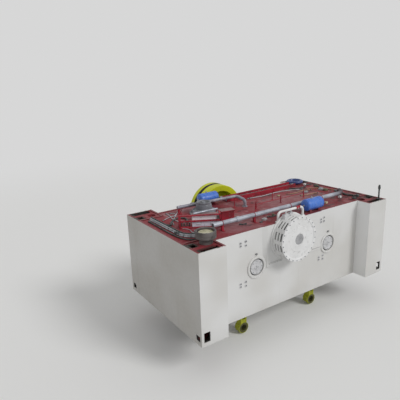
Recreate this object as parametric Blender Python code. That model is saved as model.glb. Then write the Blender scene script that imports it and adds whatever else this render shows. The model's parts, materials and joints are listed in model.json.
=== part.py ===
import math

import bmesh
import bpy
from mathutils import Matrix, Vector

# The crown, or head piece, of a large press, with its drive. Metres, +Z up.
# The origin is the centre of the underside, X runs along the long front and Y to the rear.

# Crown body
LENGTH = 6.92                  # along X, over the end walls
WIDTH = 3.81                   # along Y, over the corner columns
HEIGHT = 2.40
WALL = 0.06                    # outer plates and bearing webs
COLUMN = 0.79                  # side of each square corner column
RECESS = 0.45                  # front and rear walls, behind the columns' faces
FLOOR_PLATE = 0.06
DECK_PLATE = 0.04
DECK_DROP = 0.02               # deck below the walls' top edges
GAP = 0.0003                   # between pieces that touch

# Tie rod ways through the columns
TIE_FROM_INSIDE = 0.24         # axis to the column's face nearest the middle
TIE_FROM_FRONT = 0.50          # axis to the column's outer face
TIE_BORE = 0.12                # radius
TIE_TUBE_WALL = 0.03
TIE_STEPS = 12
FRONT_SLOT = 0.18              # open slot between the corner plate and the column's outer wall
FRONT_SLOT_START = 0.16        # from the end wall's face
SIDE_SLOT = 0.15               # small slot by the end wall, along X and Y
SIDE_SLOT_WIDTH = 0.20
SIDE_SLOT_FROM_END = 0.11
SIDE_SLOT_FROM_FRONT = 0.42

# Nut on the front left tie rod
NUT_NECK_WALL = 0.05
NUT_NECK_HEIGHT = 0.14
NUT_OVERHANG = 0.087           # ring over the neck
NUT_HEIGHT = 0.18
NUT_LIP = 0.045                # ring wall round the dished cover
NUT_DISH = 0.075               # depth of the dish
NUT_COVER = 0.03
NUT_COVER_CLEARANCE = 0.03
NUT_STEPS = 20

# Lifting pockets at the foot of each column
POCKET_FROM_CORNER = 0.07
POCKET_WIDTH = 0.18
POCKET_FOOT = 0.10
POCKET_HEIGHT = 0.26
SIDE_POCKET_HEIGHT = 0.15

# Gear train
MODULE = 0.04
PRESSURE = math.radians(25)
ADDENDUM = 1.0                 # in modules
DEDENDUM = 1.25
BACKLASH = 0.003
MAIN_TEETH = 41
IDLER_TEETH = 14
REDUCTION_TEETH = 21
PINION_TEETH = 11
MAIN_GEAR_WIDTH = 0.24
MAIN_GEAR_SPACE = 0.10         # to the rear web's bosses
REDUCTION_WIDTH = 0.18
REDUCTION_SPACE = 0.05         # to the front web's bosses
MAIN_HUB_WALL = 0.13
MAIN_RIM = 0.09                # below the tooth roots
MAIN_WEB = 0.10                # thickness left between the recesses
LIGHTENING_HOLES = 6
LIGHTENING_RADIUS = 0.12

# Shafts, their webs and the rods
SHAFT_BELOW_TOP = 1.06         # eccentric shafts below the walls' top edges
THROW = 0.20
WEB_OFFSET = 0.42              # middle of each bearing web from the middle
BOSS_WALL = 0.10
BOSS_WIDTH = 0.16
SMALL_BOSS_WALL = 0.06         # round the idler and drive shafts
JOURNAL = 0.15                 # radius in the webs
SHOULDER = 0.02                # step in radius to the gear's seat and to the end journals
SHAFT_COLLAR = 0.03
SHAFT_STEPS = 12
ECCENTRIC_COVER = 0.01         # eccentric past the journal's far side
ECCENTRIC_WIDTH = 0.22
ECCENTRIC_STEPS = 20
ROD_OFFSET = 0.80              # middle of each rod from the middle, along Y
ROD_THICKNESS = 0.20
ROD_HEAD = 0.10                # wall of the big end
ROD_LENGTH = 1.88              # between the two centres
ROD_SHANK_TOP = 0.15           # half width
ROD_SHANK_FOOT = 0.10
ROD_POCKET = 0.05              # depth of the recess in each side of the shank
ROD_RIB = 0.05                 # left beside the recess
ROD_PIN = 0.095                # radius of the eye's hole
ROD_EYE_WALL = 0.075
ROD_CLEARANCE = 0.02           # shank to the floor opening at full throw
IDLER_SHAFT = 0.09
DRIVE_SHAFT = 0.09

# Wall bearings at the ends of the eccentric shafts
SHAFT_END = 0.03               # shaft ends behind the wall's outer face
END_PLATE_OVERLAP = 0.085      # plate over the end journal
END_PLATE_CLEARANCE = 0.02     # the dark ring round the plate
END_PLATE_THICKNESS = 0.045
BEARING_RING = 0.035           # housing's wall round the end plate
BEARING_FLANGE = 0.04          # flange past the housing
BEARING_FLANGE_THICKNESS = 0.03
BEARING_DEPTH = 0.12           # behind the wall's outer face
BEARING_STEPS = 20

# Drum round the brake, on a raised pad of the front wall
PAD_BELOW_DRUM = 0.08
PAD_THICKNESS = 0.04
PAD_CLEARANCE = 0.03           # to the flanges of the wall bearings
DRUM_RADIUS = 0.62
DRUM_REACH = 0.45              # cover's face to the front wall
DRUM_SHELL = 0.04
DRUM_FOOT = 0.03               # how far the mounting ring stands out
DRUM_FOOT_THICKNESS = 0.035
DRUM_COVER = 0.04
DRUM_RIM = 0.07                # raised bolting rim of the cover
DRUM_STEP = 0.012              # height of the rim and of the hub pad over the cover
HUB_HOLE = 0.15
HUB_PAD = 0.04                 # raised ring round the hub hole
VENT_GROUPS = 12
VENT_ARC = math.radians(20)
VENT_FIRST = 0.075             # middle of the front row behind the cover's face
VENT_FIRST_WIDTH = 0.055
VENT_PITCH = 0.10
VENT_WIDTH = 0.04
DRUM_STEPS = 24
COVER_STEPS = 30
BRAKE_RADIUS = 0.48
BRAKE_THICKNESS = 0.07
BRAKE_HUB_WALL = 0.09

# Flywheel behind the rear wall
FLYWHEEL_RADIUS = 0.82
FLYWHEEL_FRONT = 0.145         # behind the rear wall
FLYWHEEL_WIDTH = 0.59
FLYWHEEL_RIM = 0.19
FLYWHEEL_WEB = 0.12
FLYWHEEL_HUB_WALL = 0.11
FLYWHEEL_BEVEL = 0.015
FLYWHEEL_STEPS = 28
BELT_TRACK = 0.13
BELT_TRACK_DEPTH = 0.045
BELT_TRACK_FROM_FRONT = 0.29

# Air tanks on the deck
TANK_RADIUS = 0.168
TANK_LENGTH = 0.69
TANK_DOME = 0.06
TANK_FOOT = 0.05               # saddle below the shell
TANK_FROM_WALL = 0.14          # axis to the wall's inner face
SADDLE_WIDTH = 0.20
SADDLE_LENGTH = 0.06
SADDLE_FROM_MIDDLE = 0.17
TANK_STEPS = 16
FRONT_TANK_X = 0.905
REAR_TANK_X = -1.01

# Pipes, channel and hoses on the deck
PIPE_RADIUS = 0.06
PIPE_HEIGHT = 0.20             # middle of the long pipes above the deck
PIPE_BORE = 0.048
PIPE_MOUTH = 0.15              # depth of the open left end
PIPE_SIDES = 8
FRONT_PIPE_BEHIND_TANK = 0.295  # pipe's axis to the tank's axis
FRONT_PIPE_START = -2.39
FRONT_PIPE_BEND = 2.55
FRONT_PIPE_END = (2.82, -0.62)
REAR_PIPE_RADIUS = 0.048
REAR_PIPE_START = -2.22
REAR_PIPE_BEND = (-0.17, 0.88)
REAR_PIPE_END = (-0.28, 0.34)
REAR_PIPE_BEFORE_TANK = 0.255
REST_WIDTH = 0.06
REST_PLACES = (-2.10, -1.03, 0.30, 1.60)
CHANNEL_WIDTH = 0.33
CHANNEL_HEIGHT = 0.12
CHANNEL_PLATE = 0.02
CHANNEL_START = -0.40
HOSE_RADIUS = 0.055
HOSE_FROM_END = 0.34           # hose run's axis to the end wall's face
HOSE_FROM_COLUMN = 0.115       # ends of the run to the columns
HOSE_TURN = 0.52               # end of the run past its last bend, along X

# Heads, boxes and posts on the deck
HEAD_RADIUS = 0.31
HEAD_HEIGHT = 0.36
HEAD_PLACE = (-1.62, 0.58)
HEAD_FLANGE = 0.06             # height of the lowest step
HEAD_STEP = 0.025              # width of each step
HEAD_SHOULDER = 0.08           # height of the shoulder above the flange
HEAD_RING = 0.21               # radius of the upper ring
HEAD_RING_HEIGHT = 0.06
HEAD_DISH = 0.04
HEAD_STEPS = 20
VESSEL_RADIUS = 0.29
VESSEL_FOOT = 0.04             # neck below the vessel, clear of the column's wall
VESSEL_HEIGHT = 0.14
VESSEL_BEVEL = 0.03
VESSEL_RIM = 0.08
VESSEL_DISH = 0.06
CABINET_PLACE = (-2.21, -0.37)
CABINET_TURN = math.radians(-30)
CABINET_LENGTH = 0.72
CABINET_DEPTH = 0.26
CABINET_HEIGHT = 0.30
CABINET_NICHE = 0.05           # margin round the open front, and its depth
BAR = 0.03                     # bars under and over the cabinet
FRAME_REACH = 0.36             # frame to the left of the cabinet
FRAME_MARGIN = 0.04
JUNCTION_PLACE = (-1.43, -0.25)
JUNCTION_TURN = math.radians(-12)
JUNCTION_LENGTH = 0.38
JUNCTION_DEPTH = 0.22
JUNCTION_HEIGHT = 0.23
JUNCTION_LID = 0.02            # lid past the box
JUNCTION_LID_HEIGHT = 0.04
RAIL_POST = 0.045
RAIL_HEIGHT = 0.22
RAIL_BAR = 0.027
RAIL_BAR_HEIGHT = 0.12
RAIL_PLACES = (-0.18, 0.82, 1.82)
RAIL_Y = -0.05
POST_WIDTH = 0.075
POST_HEIGHT = 0.44
POST_FROM_END = 0.10
POST_FROM_FRONT = 0.20

# Pipe loop on the front wall, behind the drum
LOOP_RADIUS = 0.025
LOOP_HEIGHT = 0.28             # above the wall's top edge
LOOP_LEFT = -0.61
LOOP_RIGHT = 0.33
LOOP_BEND = 0.08
LOOP_SIDES = 12
COUPLING_RADIUS = 0.05
COUPLING_LENGTH = 0.12
COUPLING_PLACE = 0.12

half_length = LENGTH / 2
half_width = WIDTH / 2
wall_face = half_width - RECESS
inner_face = wall_face - WALL
column_inner = half_length - COLUMN
column_back = half_width - COLUMN
deck_top = HEIGHT - DECK_DROP
deck_under = deck_top - DECK_PLATE
on_deck = deck_top + GAP
main_pitch = MODULE * MAIN_TEETH / 2
idler_pitch = MODULE * IDLER_TEETH / 2
reduction_pitch = MODULE * REDUCTION_TEETH / 2
pinion_pitch = MODULE * PINION_TEETH / 2
shaft_offset = main_pitch + 2 * idler_pitch
shaft_height = HEIGHT - SHAFT_BELOW_TOP
drive_height = shaft_height + reduction_pitch + pinion_pitch
eccentric_height = shaft_height - THROW
boss_inner = WEB_OFFSET - BOSS_WIDTH / 2
boss_outer = WEB_OFFSET + BOSS_WIDTH / 2
main_gear_rear = boss_inner - MAIN_GEAR_SPACE
main_gear_front = main_gear_rear - MAIN_GEAR_WIDTH
reduction_front = -boss_inner + REDUCTION_SPACE
reduction_rear = reduction_front + REDUCTION_WIDTH
gear_seat = JOURNAL + SHOULDER
end_journal = JOURNAL - SHOULDER
end_plate = end_journal + END_PLATE_OVERLAP
bearing_seat = end_plate + END_PLATE_CLEARANCE
bearing_spigot = bearing_seat + BEARING_RING
bearing_flange = bearing_spigot + BEARING_FLANGE
eccentric_radius = THROW + JOURNAL + ECCENTRIC_COVER
rod_head = eccentric_radius + ROD_HEAD
rod_eye = ROD_PIN + ROD_EYE_WALL
tie_x = column_inner + TIE_FROM_INSIDE
tie_y = half_width - TIE_FROM_FRONT
drum_front = -wall_face - DRUM_REACH
cover_back = drum_front + DRUM_COVER
drum_shell_front = cover_back + GAP
tank_y = inner_face - TANK_FROM_WALL
pipe_height = deck_top + PIPE_HEIGHT

ALONG = {'X': Vector((1, 0, 0)), 'Y': Vector((0, 1, 0)), 'Z': Vector((0, 0, 1))}
OUTWARD = {'X': Vector((0, 1, 0)), 'Y': Vector((1, 0, 0)), 'Z': Vector((1, 0, 0))}
SIDES = {'left': -1, 'right': 1}
ENDS = {'front': -1, 'rear': 1}

# Colour, roughness and metallic value
PAINTS = {
    'white_paint': ((0.80, 0.80, 0.78), 0.45, 0.0),
    'red_oxide': ((0.36, 0.05, 0.06), 0.65, 0.0),
    'blue_paint': ((0.10, 0.25, 0.62), 0.35, 0.0),
    'lime_paint': ((0.72, 0.76, 0.03), 0.45, 0.0),
    'machined_steel': ((0.42, 0.43, 0.44), 0.35, 1.0),
    'grey_paint': ((0.34, 0.36, 0.38), 0.50, 0.0),
    'grey_pipe': ((0.62, 0.66, 0.70), 0.40, 0.0),
    'dark_hose': ((0.05, 0.06, 0.06), 0.75, 0.0),
    'beige_cover': ((0.55, 0.52, 0.38), 0.60, 0.0),
}


def clear_scene():
    for old in list(bpy.data.objects):
        bpy.data.objects.remove(old, do_unlink=True)


def make_paint(name):
    colour, roughness, metallic = PAINTS[name]
    paint = bpy.data.materials.new(name)
    paint.use_nodes = True
    shader = paint.node_tree.nodes['Principled BSDF']
    shader.inputs['Base Color'].default_value = (*colour, 1)
    shader.inputs['Roughness'].default_value = roughness
    shader.inputs['Metallic'].default_value = metallic
    return paint


def box(low, high):
    low, high = Vector(low), Vector(high)
    shape = bmesh.new()
    bmesh.ops.create_cube(shape, size=1.0)
    bmesh.ops.scale(shape, vec=high - low, verts=shape.verts)
    bmesh.ops.translate(shape, vec=(low + high) / 2, verts=shape.verts)
    return shape


def turned(profile, axis='Y', steps=SHAFT_STEPS, centre=(0, 0, 0)):
    """A profile of (radius, place along the axis), turned about the axis.
    It starts and ends on the axis, or is a closed ring clear of it."""
    shape = bmesh.new()
    along, outward = ALONG[axis], OUTWARD[axis]
    points = [shape.verts.new(outward * radius + along * place) for radius, place in profile]
    edges = [shape.edges.new(pair) for pair in zip(points, points[1:])]
    if profile[0][0] > 0:
        edges.append(shape.edges.new((points[-1], points[0])))
    bmesh.ops.spin(shape, geom=points + edges, cent=(0, 0, 0), axis=along, angle=math.tau, steps=steps,
                   use_merge=True)
    bmesh.ops.remove_doubles(shape, verts=shape.verts, dist=1e-5)
    bmesh.ops.recalc_face_normals(shape, faces=shape.faces)
    bmesh.ops.translate(shape, vec=centre, verts=shape.verts)
    return shape


def rod_shape(radius, low, high, axis='Y', steps=SHAFT_STEPS, centre=(0, 0, 0)):
    return turned([(0, low), (radius, low), (radius, high), (0, high)], axis, steps, centre)


def extruded(outline, axis, low, high):
    """An outline in the plane across the axis, pushed from low to high along it."""
    place = {'X': lambda a, b: (low, a, b), 'Y': lambda a, b: (a, low, b), 'Z': lambda a, b: (a, b, low)}[axis]
    shape = bmesh.new()
    face = shape.faces.new([shape.verts.new(place(a, b)) for a, b in outline])
    pushed = bmesh.ops.extrude_face_region(shape, geom=[face])
    moved = [item for item in pushed['geom'] if isinstance(item, bmesh.types.BMVert)]
    bmesh.ops.translate(shape, vec=ALONG[axis] * (high - low), verts=moved)
    bmesh.ops.recalc_face_normals(shape, faces=shape.faces)
    return shape


def swept_pipe(points, radius, sides=PIPE_SIDES):
    """A round solid bar along a list of points, mitred at each bend."""
    points = [Vector(point) for point in points]
    steps = [(b - a).normalized() for a, b in zip(points, points[1:])]
    tangents = [steps[0]] + [(a + b).normalized() for a, b in zip(steps, steps[1:])] + [steps[-1]]
    across = steps[0].orthogonal().normalized()
    shape = bmesh.new()
    rings = []
    for index, (point, tangent) in enumerate(zip(points, tangents)):
        step = steps[max(index - 1, 0)]
        across = (across - step * across.dot(step)).normalized()
        up = step.cross(across)
        ring = []
        for side in range(sides):
            angle = math.tau * side / sides
            start = point + (across * math.cos(angle) + up * math.sin(angle)) * radius
            slide = (point - start).dot(tangent) / step.dot(tangent)
            ring.append(shape.verts.new(start + step * slide))
        rings.append(ring)
    for first, second in zip(rings, rings[1:]):
        for side in range(sides):
            nearby = (side + 1) % sides
            shape.faces.new((first[side], first[nearby], second[nearby], second[side]))
    shape.faces.new(rings[0])
    shape.faces.new(rings[-1])
    bmesh.ops.recalc_face_normals(shape, faces=shape.faces)
    return shape


def rounded_route(corners, radius, steps=3):
    """Points of a bent pipe, with each corner as a curve."""
    corners = [Vector(corner) for corner in corners]
    route = [corners[0]]
    for before, corner, after in zip(corners, corners[1:], corners[2:]):
        start = corner + (before - corner).normalized() * radius
        end = corner + (after - corner).normalized() * radius
        for step in range(steps + 1):
            share = step / steps
            route.append(start.lerp(corner, share).lerp(corner.lerp(end, share), share))
    route.append(corners[-1])
    return route


def together(shapes):
    """Several separate shapes in one mesh."""
    whole = bmesh.new()
    for shape in shapes:
        mesh = bpy.data.meshes.new('shape')
        shape.to_mesh(mesh)
        shape.free()
        whole.from_mesh(mesh)
        bpy.data.meshes.remove(mesh)
    return whole


def new_object(name, shape, place, turn):
    mesh = bpy.data.meshes.new(name)
    shape.to_mesh(mesh)
    shape.free()
    made = bpy.data.objects.new(name, mesh)
    made.location = place
    made.rotation_euler = (0, 0, turn)
    bpy.context.scene.collection.objects.link(made)
    return made


def apply_tool(host, name, shape, operation):
    tool = new_object(name, shape, host.location, host.rotation_euler.z)
    tool.display_type = 'WIRE'
    tool.hide_render = True
    boolean = host.modifiers.new(name, 'BOOLEAN')
    boolean.operation = operation
    boolean.object = tool


def piece(name, slot, shape, place=(0, 0, 0), turn=0.0, joined=(), cut=()):
    """One named solid. Joined shapes are united with it in turn, then the separate cuts are taken out."""
    made = new_object(name, shape, place, turn)
    made.data.materials.append(paints[slot])
    made.data.shade_smooth()
    made.data.set_sharp_from_angle(angle=math.radians(30))
    for index, extra in enumerate(joined):
        apply_tool(made, f'{name}_join_{index}', extra, 'UNION')
    if cut:
        apply_tool(made, f'{name}_cut', together(cut), 'DIFFERENCE')
    return made


def bore(radius, steps=SHAFT_STEPS):
    """Corner radius of a faceted hole whose flats clear a round of this radius."""
    return (radius + GAP) / math.cos(math.pi / steps)


def running_hole(radius, low, high, steps=SHAFT_STEPS, centre=(0, 0, 0)):
    """Hole along Y that a shaft turns in, its flats over the shaft's corners."""
    shape = rod_shape(bore(radius, steps), low, high, steps=steps)
    bmesh.ops.rotate(shape, cent=(0, 0, 0), matrix=Matrix.Rotation(math.pi / steps, 3, 'Y'), verts=shape.verts)
    bmesh.ops.translate(shape, vec=centre, verts=shape.verts)
    return shape


def plus_outline():
    """The plan inside the walls, with its corners cut out for the columns."""
    long_x, short_x = half_length - WALL - GAP, column_inner - GAP
    long_y, short_y = inner_face - GAP, column_back - GAP
    return [(-long_x, -short_y), (-short_x, -short_y), (-short_x, -long_y), (short_x, -long_y),
            (short_x, -short_y), (long_x, -short_y), (long_x, short_y), (short_x, short_y),
            (short_x, long_y), (-short_x, long_y), (-short_x, short_y), (-long_x, short_y)]


def make_long_wall(end, side):
    """Front or rear wall, bored for the wall bearings and the drive shaft."""
    low, high = sorted((side * wall_face, side * inner_face))
    centre = (-idler_pitch, 0, drive_height)
    holes = [rod_shape(bearing_spigot + GAP, low - WALL, high + WALL, steps=BEARING_STEPS,
                       centre=(x * shaft_offset, 0, shaft_height)) for x in SIDES.values()]
    holes.append(running_hole(DRIVE_SHAFT, low - 2 * PAD_THICKNESS, high + 2 * WALL, centre=centre))
    boss_low, boss_high = sorted((side * (inner_face - WALL), side * (inner_face + WALL / 2)))
    added = [rod_shape(DRIVE_SHAFT + SMALL_BOSS_WALL, boss_low, boss_high, centre=centre)]
    if end == 'front':
        pad_edge = shaft_offset - bearing_flange - PAD_CLEARANCE
        pad_foot = drive_height - DRUM_RADIUS - DRUM_FOOT - PAD_BELOW_DRUM
        added.append(box((-pad_edge, low - PAD_THICKNESS, pad_foot), (pad_edge, high - WALL / 2, HEIGHT)))
    edge = column_inner - GAP
    piece(f'{end}_wall', 'white_paint', box((-edge, low, 0), (edge, high, HEIGHT)), joined=added, cut=holes)


def make_end_wall(name, side):
    low, high = sorted((side * half_length, side * (half_length - WALL)))
    slots = []
    for y_side in ENDS.values():
        outer = y_side * (half_width - POCKET_FROM_CORNER)
        y_low, y_high = sorted((outer, outer - y_side * POCKET_WIDTH))
        slots.append(box((low - WALL, y_low, POCKET_FOOT), (high + WALL, y_high, POCKET_FOOT + SIDE_POCKET_HEIGHT)))
    piece(f'{name}_end_wall', 'white_paint', box((low, -half_width, 0), (high, half_width, HEIGHT)), cut=slots)


def make_column(name, x_side, y_side):
    """Three walls of the square column; the end wall is its fourth."""
    def plan(from_end, from_front):
        return x_side * (half_length - from_end), y_side * (half_width - from_front)

    near = WALL + GAP
    far = COLUMN - WALL
    outline = [plan(near, 0), plan(COLUMN, 0), plan(COLUMN, COLUMN), plan(near, COLUMN),
               plan(near, far), plan(far, far), plan(far, WALL), plan(near, WALL)]
    x_low, x_high = sorted((plan(POCKET_FROM_CORNER, 0)[0], plan(POCKET_FROM_CORNER + POCKET_WIDTH, 0)[0]))
    y_low, y_high = sorted((plan(0, -WALL)[1], plan(0, 2 * WALL)[1]))
    window = box((x_low, y_low, POCKET_FOOT), (x_high, y_high, POCKET_FOOT + POCKET_HEIGHT))
    piece(f'{name}_column', 'white_paint', extruded(outline, 'Z', 0, HEIGHT), cut=[window])


def make_tie_tube(name, x_side, y_side):
    """Round way for a tie rod, from a foot plate up to the slotted corner plate."""
    def plan_box(ends, fronts, low, high):
        xs = sorted(x_side * (half_length - value) for value in ends)
        ys = sorted(y_side * (half_width - value) for value in fronts)
        return box((xs[0], ys[0], low), (xs[1], ys[1], high))

    inside = (WALL + GAP, COLUMN - WALL - GAP)
    slot_foot = deck_under - DECK_PLATE
    centre = (x_side * tie_x, y_side * tie_y, 0)
    tube = rod_shape(TIE_BORE + TIE_TUBE_WALL, FLOOR_PLATE / 2, deck_top - DECK_PLATE / 2, 'Z', TIE_STEPS, centre)
    foot = plan_box(inside, inside, 0, FLOOR_PLATE)
    plate = plan_box(inside, inside, deck_under, deck_top)
    way = rod_shape(TIE_BORE, -WALL, HEIGHT, 'Z', TIE_STEPS, centre)
    front_slot = plan_box((FRONT_SLOT_START, COLUMN - 2 * WALL), (0, WALL + FRONT_SLOT), slot_foot, HEIGHT)
    side_slot = plan_box((SIDE_SLOT_FROM_END, SIDE_SLOT_FROM_END + SIDE_SLOT),
                         (SIDE_SLOT_FROM_FRONT, SIDE_SLOT_FROM_FRONT + SIDE_SLOT_WIDTH), slot_foot, HEIGHT)
    piece(f'{name}_tie_tube', 'red_oxide', tube, joined=[foot, plate], cut=[way, front_slot, side_slot])


def shank_half_width(below):
    """Half width of a rod's shank at a depth below the middle of its big end."""
    top = math.sqrt(rod_head ** 2 - ROD_SHANK_TOP ** 2)
    foot = ROD_LENGTH - math.sqrt(rod_eye ** 2 - ROD_SHANK_FOOT ** 2)
    return ROD_SHANK_TOP + (ROD_SHANK_FOOT - ROD_SHANK_TOP) * (below - top) / (foot - top)


def make_floor_and_deck():
    half_x = THROW + shank_half_width(shaft_height - FLOOR_PLATE) + ROD_CLEARANCE
    half_y = ROD_THICKNESS / 2 + ROD_CLEARANCE
    openings = []
    for x_side in SIDES.values():
        for y_side in ENDS.values():
            x, y = x_side * shaft_offset, y_side * ROD_OFFSET
            openings.append(box((x - half_x, y - half_y, -FLOOR_PLATE), (x + half_x, y + half_y, 2 * FLOOR_PLATE)))
    piece('floor_plate', 'white_paint', extruded(plus_outline(), 'Z', 0, FLOOR_PLATE), cut=openings)
    piece('deck_plate', 'red_oxide', extruded(plus_outline(), 'Z', deck_under, deck_top))


def make_bearing_web(end, side):
    """Web between the end walls, with a boss at each shaft that it carries."""
    edge = half_length - WALL - GAP
    middle = side * WEB_OFFSET
    main_boss, small_wall = JOURNAL + BOSS_WALL, SMALL_BOSS_WALL
    carried = [(x * shaft_offset, shaft_height, main_boss, JOURNAL) for x in SIDES.values()]
    carried.append((-idler_pitch, drive_height, DRIVE_SHAFT + small_wall, DRIVE_SHAFT))
    carried.append((-idler_pitch, shaft_height, IDLER_SHAFT + small_wall, IDLER_SHAFT))
    if end == 'rear':
        carried.append((idler_pitch, shaft_height, IDLER_SHAFT + small_wall, IDLER_SHAFT))
    plate = box((-edge, middle - WALL / 2, FLOOR_PLATE + GAP), (edge, middle + WALL / 2, deck_under - GAP))
    bosses = [rod_shape(radius, middle - BOSS_WIDTH / 2, middle + BOSS_WIDTH / 2, centre=(x, 0, z))
              for x, z, radius, _ in carried]
    holes = [running_hole(shaft, middle - BOSS_WIDTH, middle + BOSS_WIDTH, centre=(x, 0, z))
             for x, z, _, shaft in carried]
    piece(f'{end}_bearing_web', 'grey_paint', plate, joined=[together(bosses)], cut=holes)


def gear_outline(teeth, first_tooth, flank_steps=1):
    """Involute teeth, with the middle of one tooth at the angle first_tooth."""
    pitch = MODULE * teeth / 2
    base = pitch * math.cos(PRESSURE)
    root, tip = pitch - DEDENDUM * MODULE, pitch + ADDENDUM * MODULE
    half_tooth = math.pi / (2 * teeth) - BACKLASH / (4 * pitch)

    def half_angle(radius):
        angle = math.acos(min(1, base / radius))
        involute = math.tan(angle) - angle
        return half_tooth + math.tan(PRESSURE) - PRESSURE - involute

    start = max(base, root)
    radii = [start + (tip - start) * step / flank_steps for step in range(1, flank_steps + 1)]
    flank = [(root, half_angle(start))] + [(radius, half_angle(radius)) for radius in radii]
    outline = []
    for tooth in range(teeth):
        middle = first_tooth + math.tau * tooth / teeth
        polar = [(radius, middle - half) for radius, half in flank]
        polar += [(radius, middle + half) for radius, half in reversed(flank)]
        outline += [(radius * math.cos(angle), radius * math.sin(angle)) for radius, angle in polar]
    return outline


def meshed(first_tooth, teeth, other_teeth, direction):
    """Angle of a tooth of the gear that lies in this direction, with a gap where the first gear has a tooth."""
    return direction + math.pi - (first_tooth - direction) * teeth / other_teeth + math.pi / other_teeth


left_idler_tooth = 0.0
right_idler_tooth = meshed(left_idler_tooth, IDLER_TEETH, IDLER_TEETH, 0)
reduction_tooth = 0.0
MAIN_TOOTH = {'left': meshed(left_idler_tooth, IDLER_TEETH, MAIN_TEETH, math.pi),
              'right': meshed(right_idler_tooth, IDLER_TEETH, MAIN_TEETH, 0)}


def make_eccentric_shaft(name, x_side):
    """Shaft with an eccentric for each of its two rods, and the end plates that turn with it."""
    place = (x_side * shaft_offset, 0, shaft_height)
    end = wall_face - SHAFT_END
    shoulder = ROD_OFFSET + ECCENTRIC_WIDTH
    seat_front = main_gear_front - SHAFT_COLLAR
    profile = [(0, -end), (end_journal, -end), (end_journal, -shoulder), (JOURNAL, -shoulder),
               (JOURNAL, seat_front), (gear_seat, seat_front), (gear_seat, main_gear_rear),
               (JOURNAL, main_gear_rear), (JOURNAL, shoulder), (end_journal, shoulder),
               (end_journal, end), (0, end)]
    half = ECCENTRIC_WIDTH / 2
    discs = [rod_shape(eccentric_radius, y * ROD_OFFSET - half, y * ROD_OFFSET + half, steps=ECCENTRIC_STEPS,
                       centre=(0, 0, -THROW)) for y in ENDS.values()]
    piece(f'{name}_eccentric_shaft', 'machined_steel', turned(profile), place, joined=[together(discs)])
    for end_name, y_side in ENDS.items():
        low, high = sorted((y_side * (end + GAP), y_side * (end + END_PLATE_THICKNESS)))
        piece(f'{name}_{end_name}_end_plate', 'grey_paint',
              rod_shape(end_plate, low, high, steps=BEARING_STEPS), place)


def make_main_gear(name, x_side):
    """Large gear with a rim, a hub and a web between them that has round holes."""
    teeth = extruded(gear_outline(MAIN_TEETH, MAIN_TOOTH[name]), 'Y', main_gear_front, main_gear_rear)
    hub = gear_seat + MAIN_HUB_WALL
    rim = main_pitch - DEDENDUM * MODULE - MAIN_RIM
    recess = (MAIN_GEAR_WIDTH - MAIN_WEB) / 2
    before, behind = main_gear_front - recess, main_gear_rear + recess
    cuts = [rod_shape(gear_seat + GAP, before, behind)]
    for low, high in ((before, main_gear_front + recess), (main_gear_rear - recess, behind)):
        cuts.append(turned([(hub, low), (rim, low), (rim, high), (hub, high)], steps=ECCENTRIC_STEPS))
    gear = piece(f'{name}_main_gear', 'machined_steel', teeth, (x_side * shaft_offset, 0, shaft_height), cut=cuts)
    circle = (hub + rim) / 2
    angles = [math.tau * (hole + 0.5) / LIGHTENING_HOLES for hole in range(LIGHTENING_HOLES)]
    holes = [rod_shape(LIGHTENING_RADIUS, before, behind, steps=9,
                       centre=(circle * math.cos(angle), 0, circle * math.sin(angle))) for angle in angles]
    apply_tool(gear, f'{name}_main_gear_holes', together(holes), 'DIFFERENCE')


def make_wall_bearing(name, x_side, y_side):
    """Flanged housing in the wall, with a counterbore that the shaft's end plate turns in."""
    journal = bore(end_journal, BEARING_STEPS)
    floor = -SHAFT_END - SHAFT_COLLAR / 2
    profile = [(journal, -BEARING_DEPTH), (bearing_spigot, -BEARING_DEPTH), (bearing_spigot, GAP),
               (bearing_flange, GAP), (bearing_flange, BEARING_FLANGE_THICKNESS),
               (bearing_seat, BEARING_FLANGE_THICKNESS), (bearing_seat, floor), (journal, floor)]
    placed = [(radius, y_side * (wall_face + out)) for radius, out in profile]
    piece(f'{name}_wall_bearing', 'white_paint', turned(placed, steps=BEARING_STEPS),
          (x_side * shaft_offset, 0, shaft_height))


def rod_outline(head_steps=16, eye_steps=9):
    """Side view of a rod, its big end round the origin and its eye straight below."""
    top = math.asin(ROD_SHANK_TOP / rod_head)
    foot = math.asin(ROD_SHANK_FOOT / rod_eye)
    outline = []
    for step in range(head_steps + 1):
        angle = -math.pi / 2 + top + (math.tau - 2 * top) * step / head_steps
        outline.append((rod_head * math.cos(angle), rod_head * math.sin(angle)))
    for step in range(eye_steps + 1):
        angle = math.pi / 2 + foot + (math.tau - 2 * foot) * step / eye_steps
        outline.append((rod_eye * math.cos(angle), -ROD_LENGTH + rod_eye * math.sin(angle)))
    return outline


def make_rod(name, x_side, y_side):
    """Connecting rod, hanging from its eccentric, with a recess in each side of the shank."""
    half = ROD_THICKNESS / 2
    body = extruded(rod_outline(), 'Y', -half, half)
    top, foot = -(rod_head + ROD_HEAD), -(ROD_LENGTH - rod_eye - ROD_HEAD)
    wide, narrow = ROD_SHANK_TOP - ROD_RIB, ROD_SHANK_FOOT - ROD_RIB
    recess = [(-wide, top), (wide, top), (narrow, foot), (-narrow, foot)]
    cuts = [running_hole(eccentric_radius, -ROD_THICKNESS, ROD_THICKNESS, ECCENTRIC_STEPS),
            rod_shape(ROD_PIN, -ROD_THICKNESS, ROD_THICKNESS, centre=(0, 0, -ROD_LENGTH)),
            extruded(recess, 'Y', -ROD_THICKNESS, -half + ROD_POCKET),
            extruded(recess, 'Y', half - ROD_POCKET, ROD_THICKNESS)]
    piece(f'{name}_connecting_rod', 'lime_paint', body,
          (x_side * shaft_offset, y_side * ROD_OFFSET, eccentric_height), cut=cuts)


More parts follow.
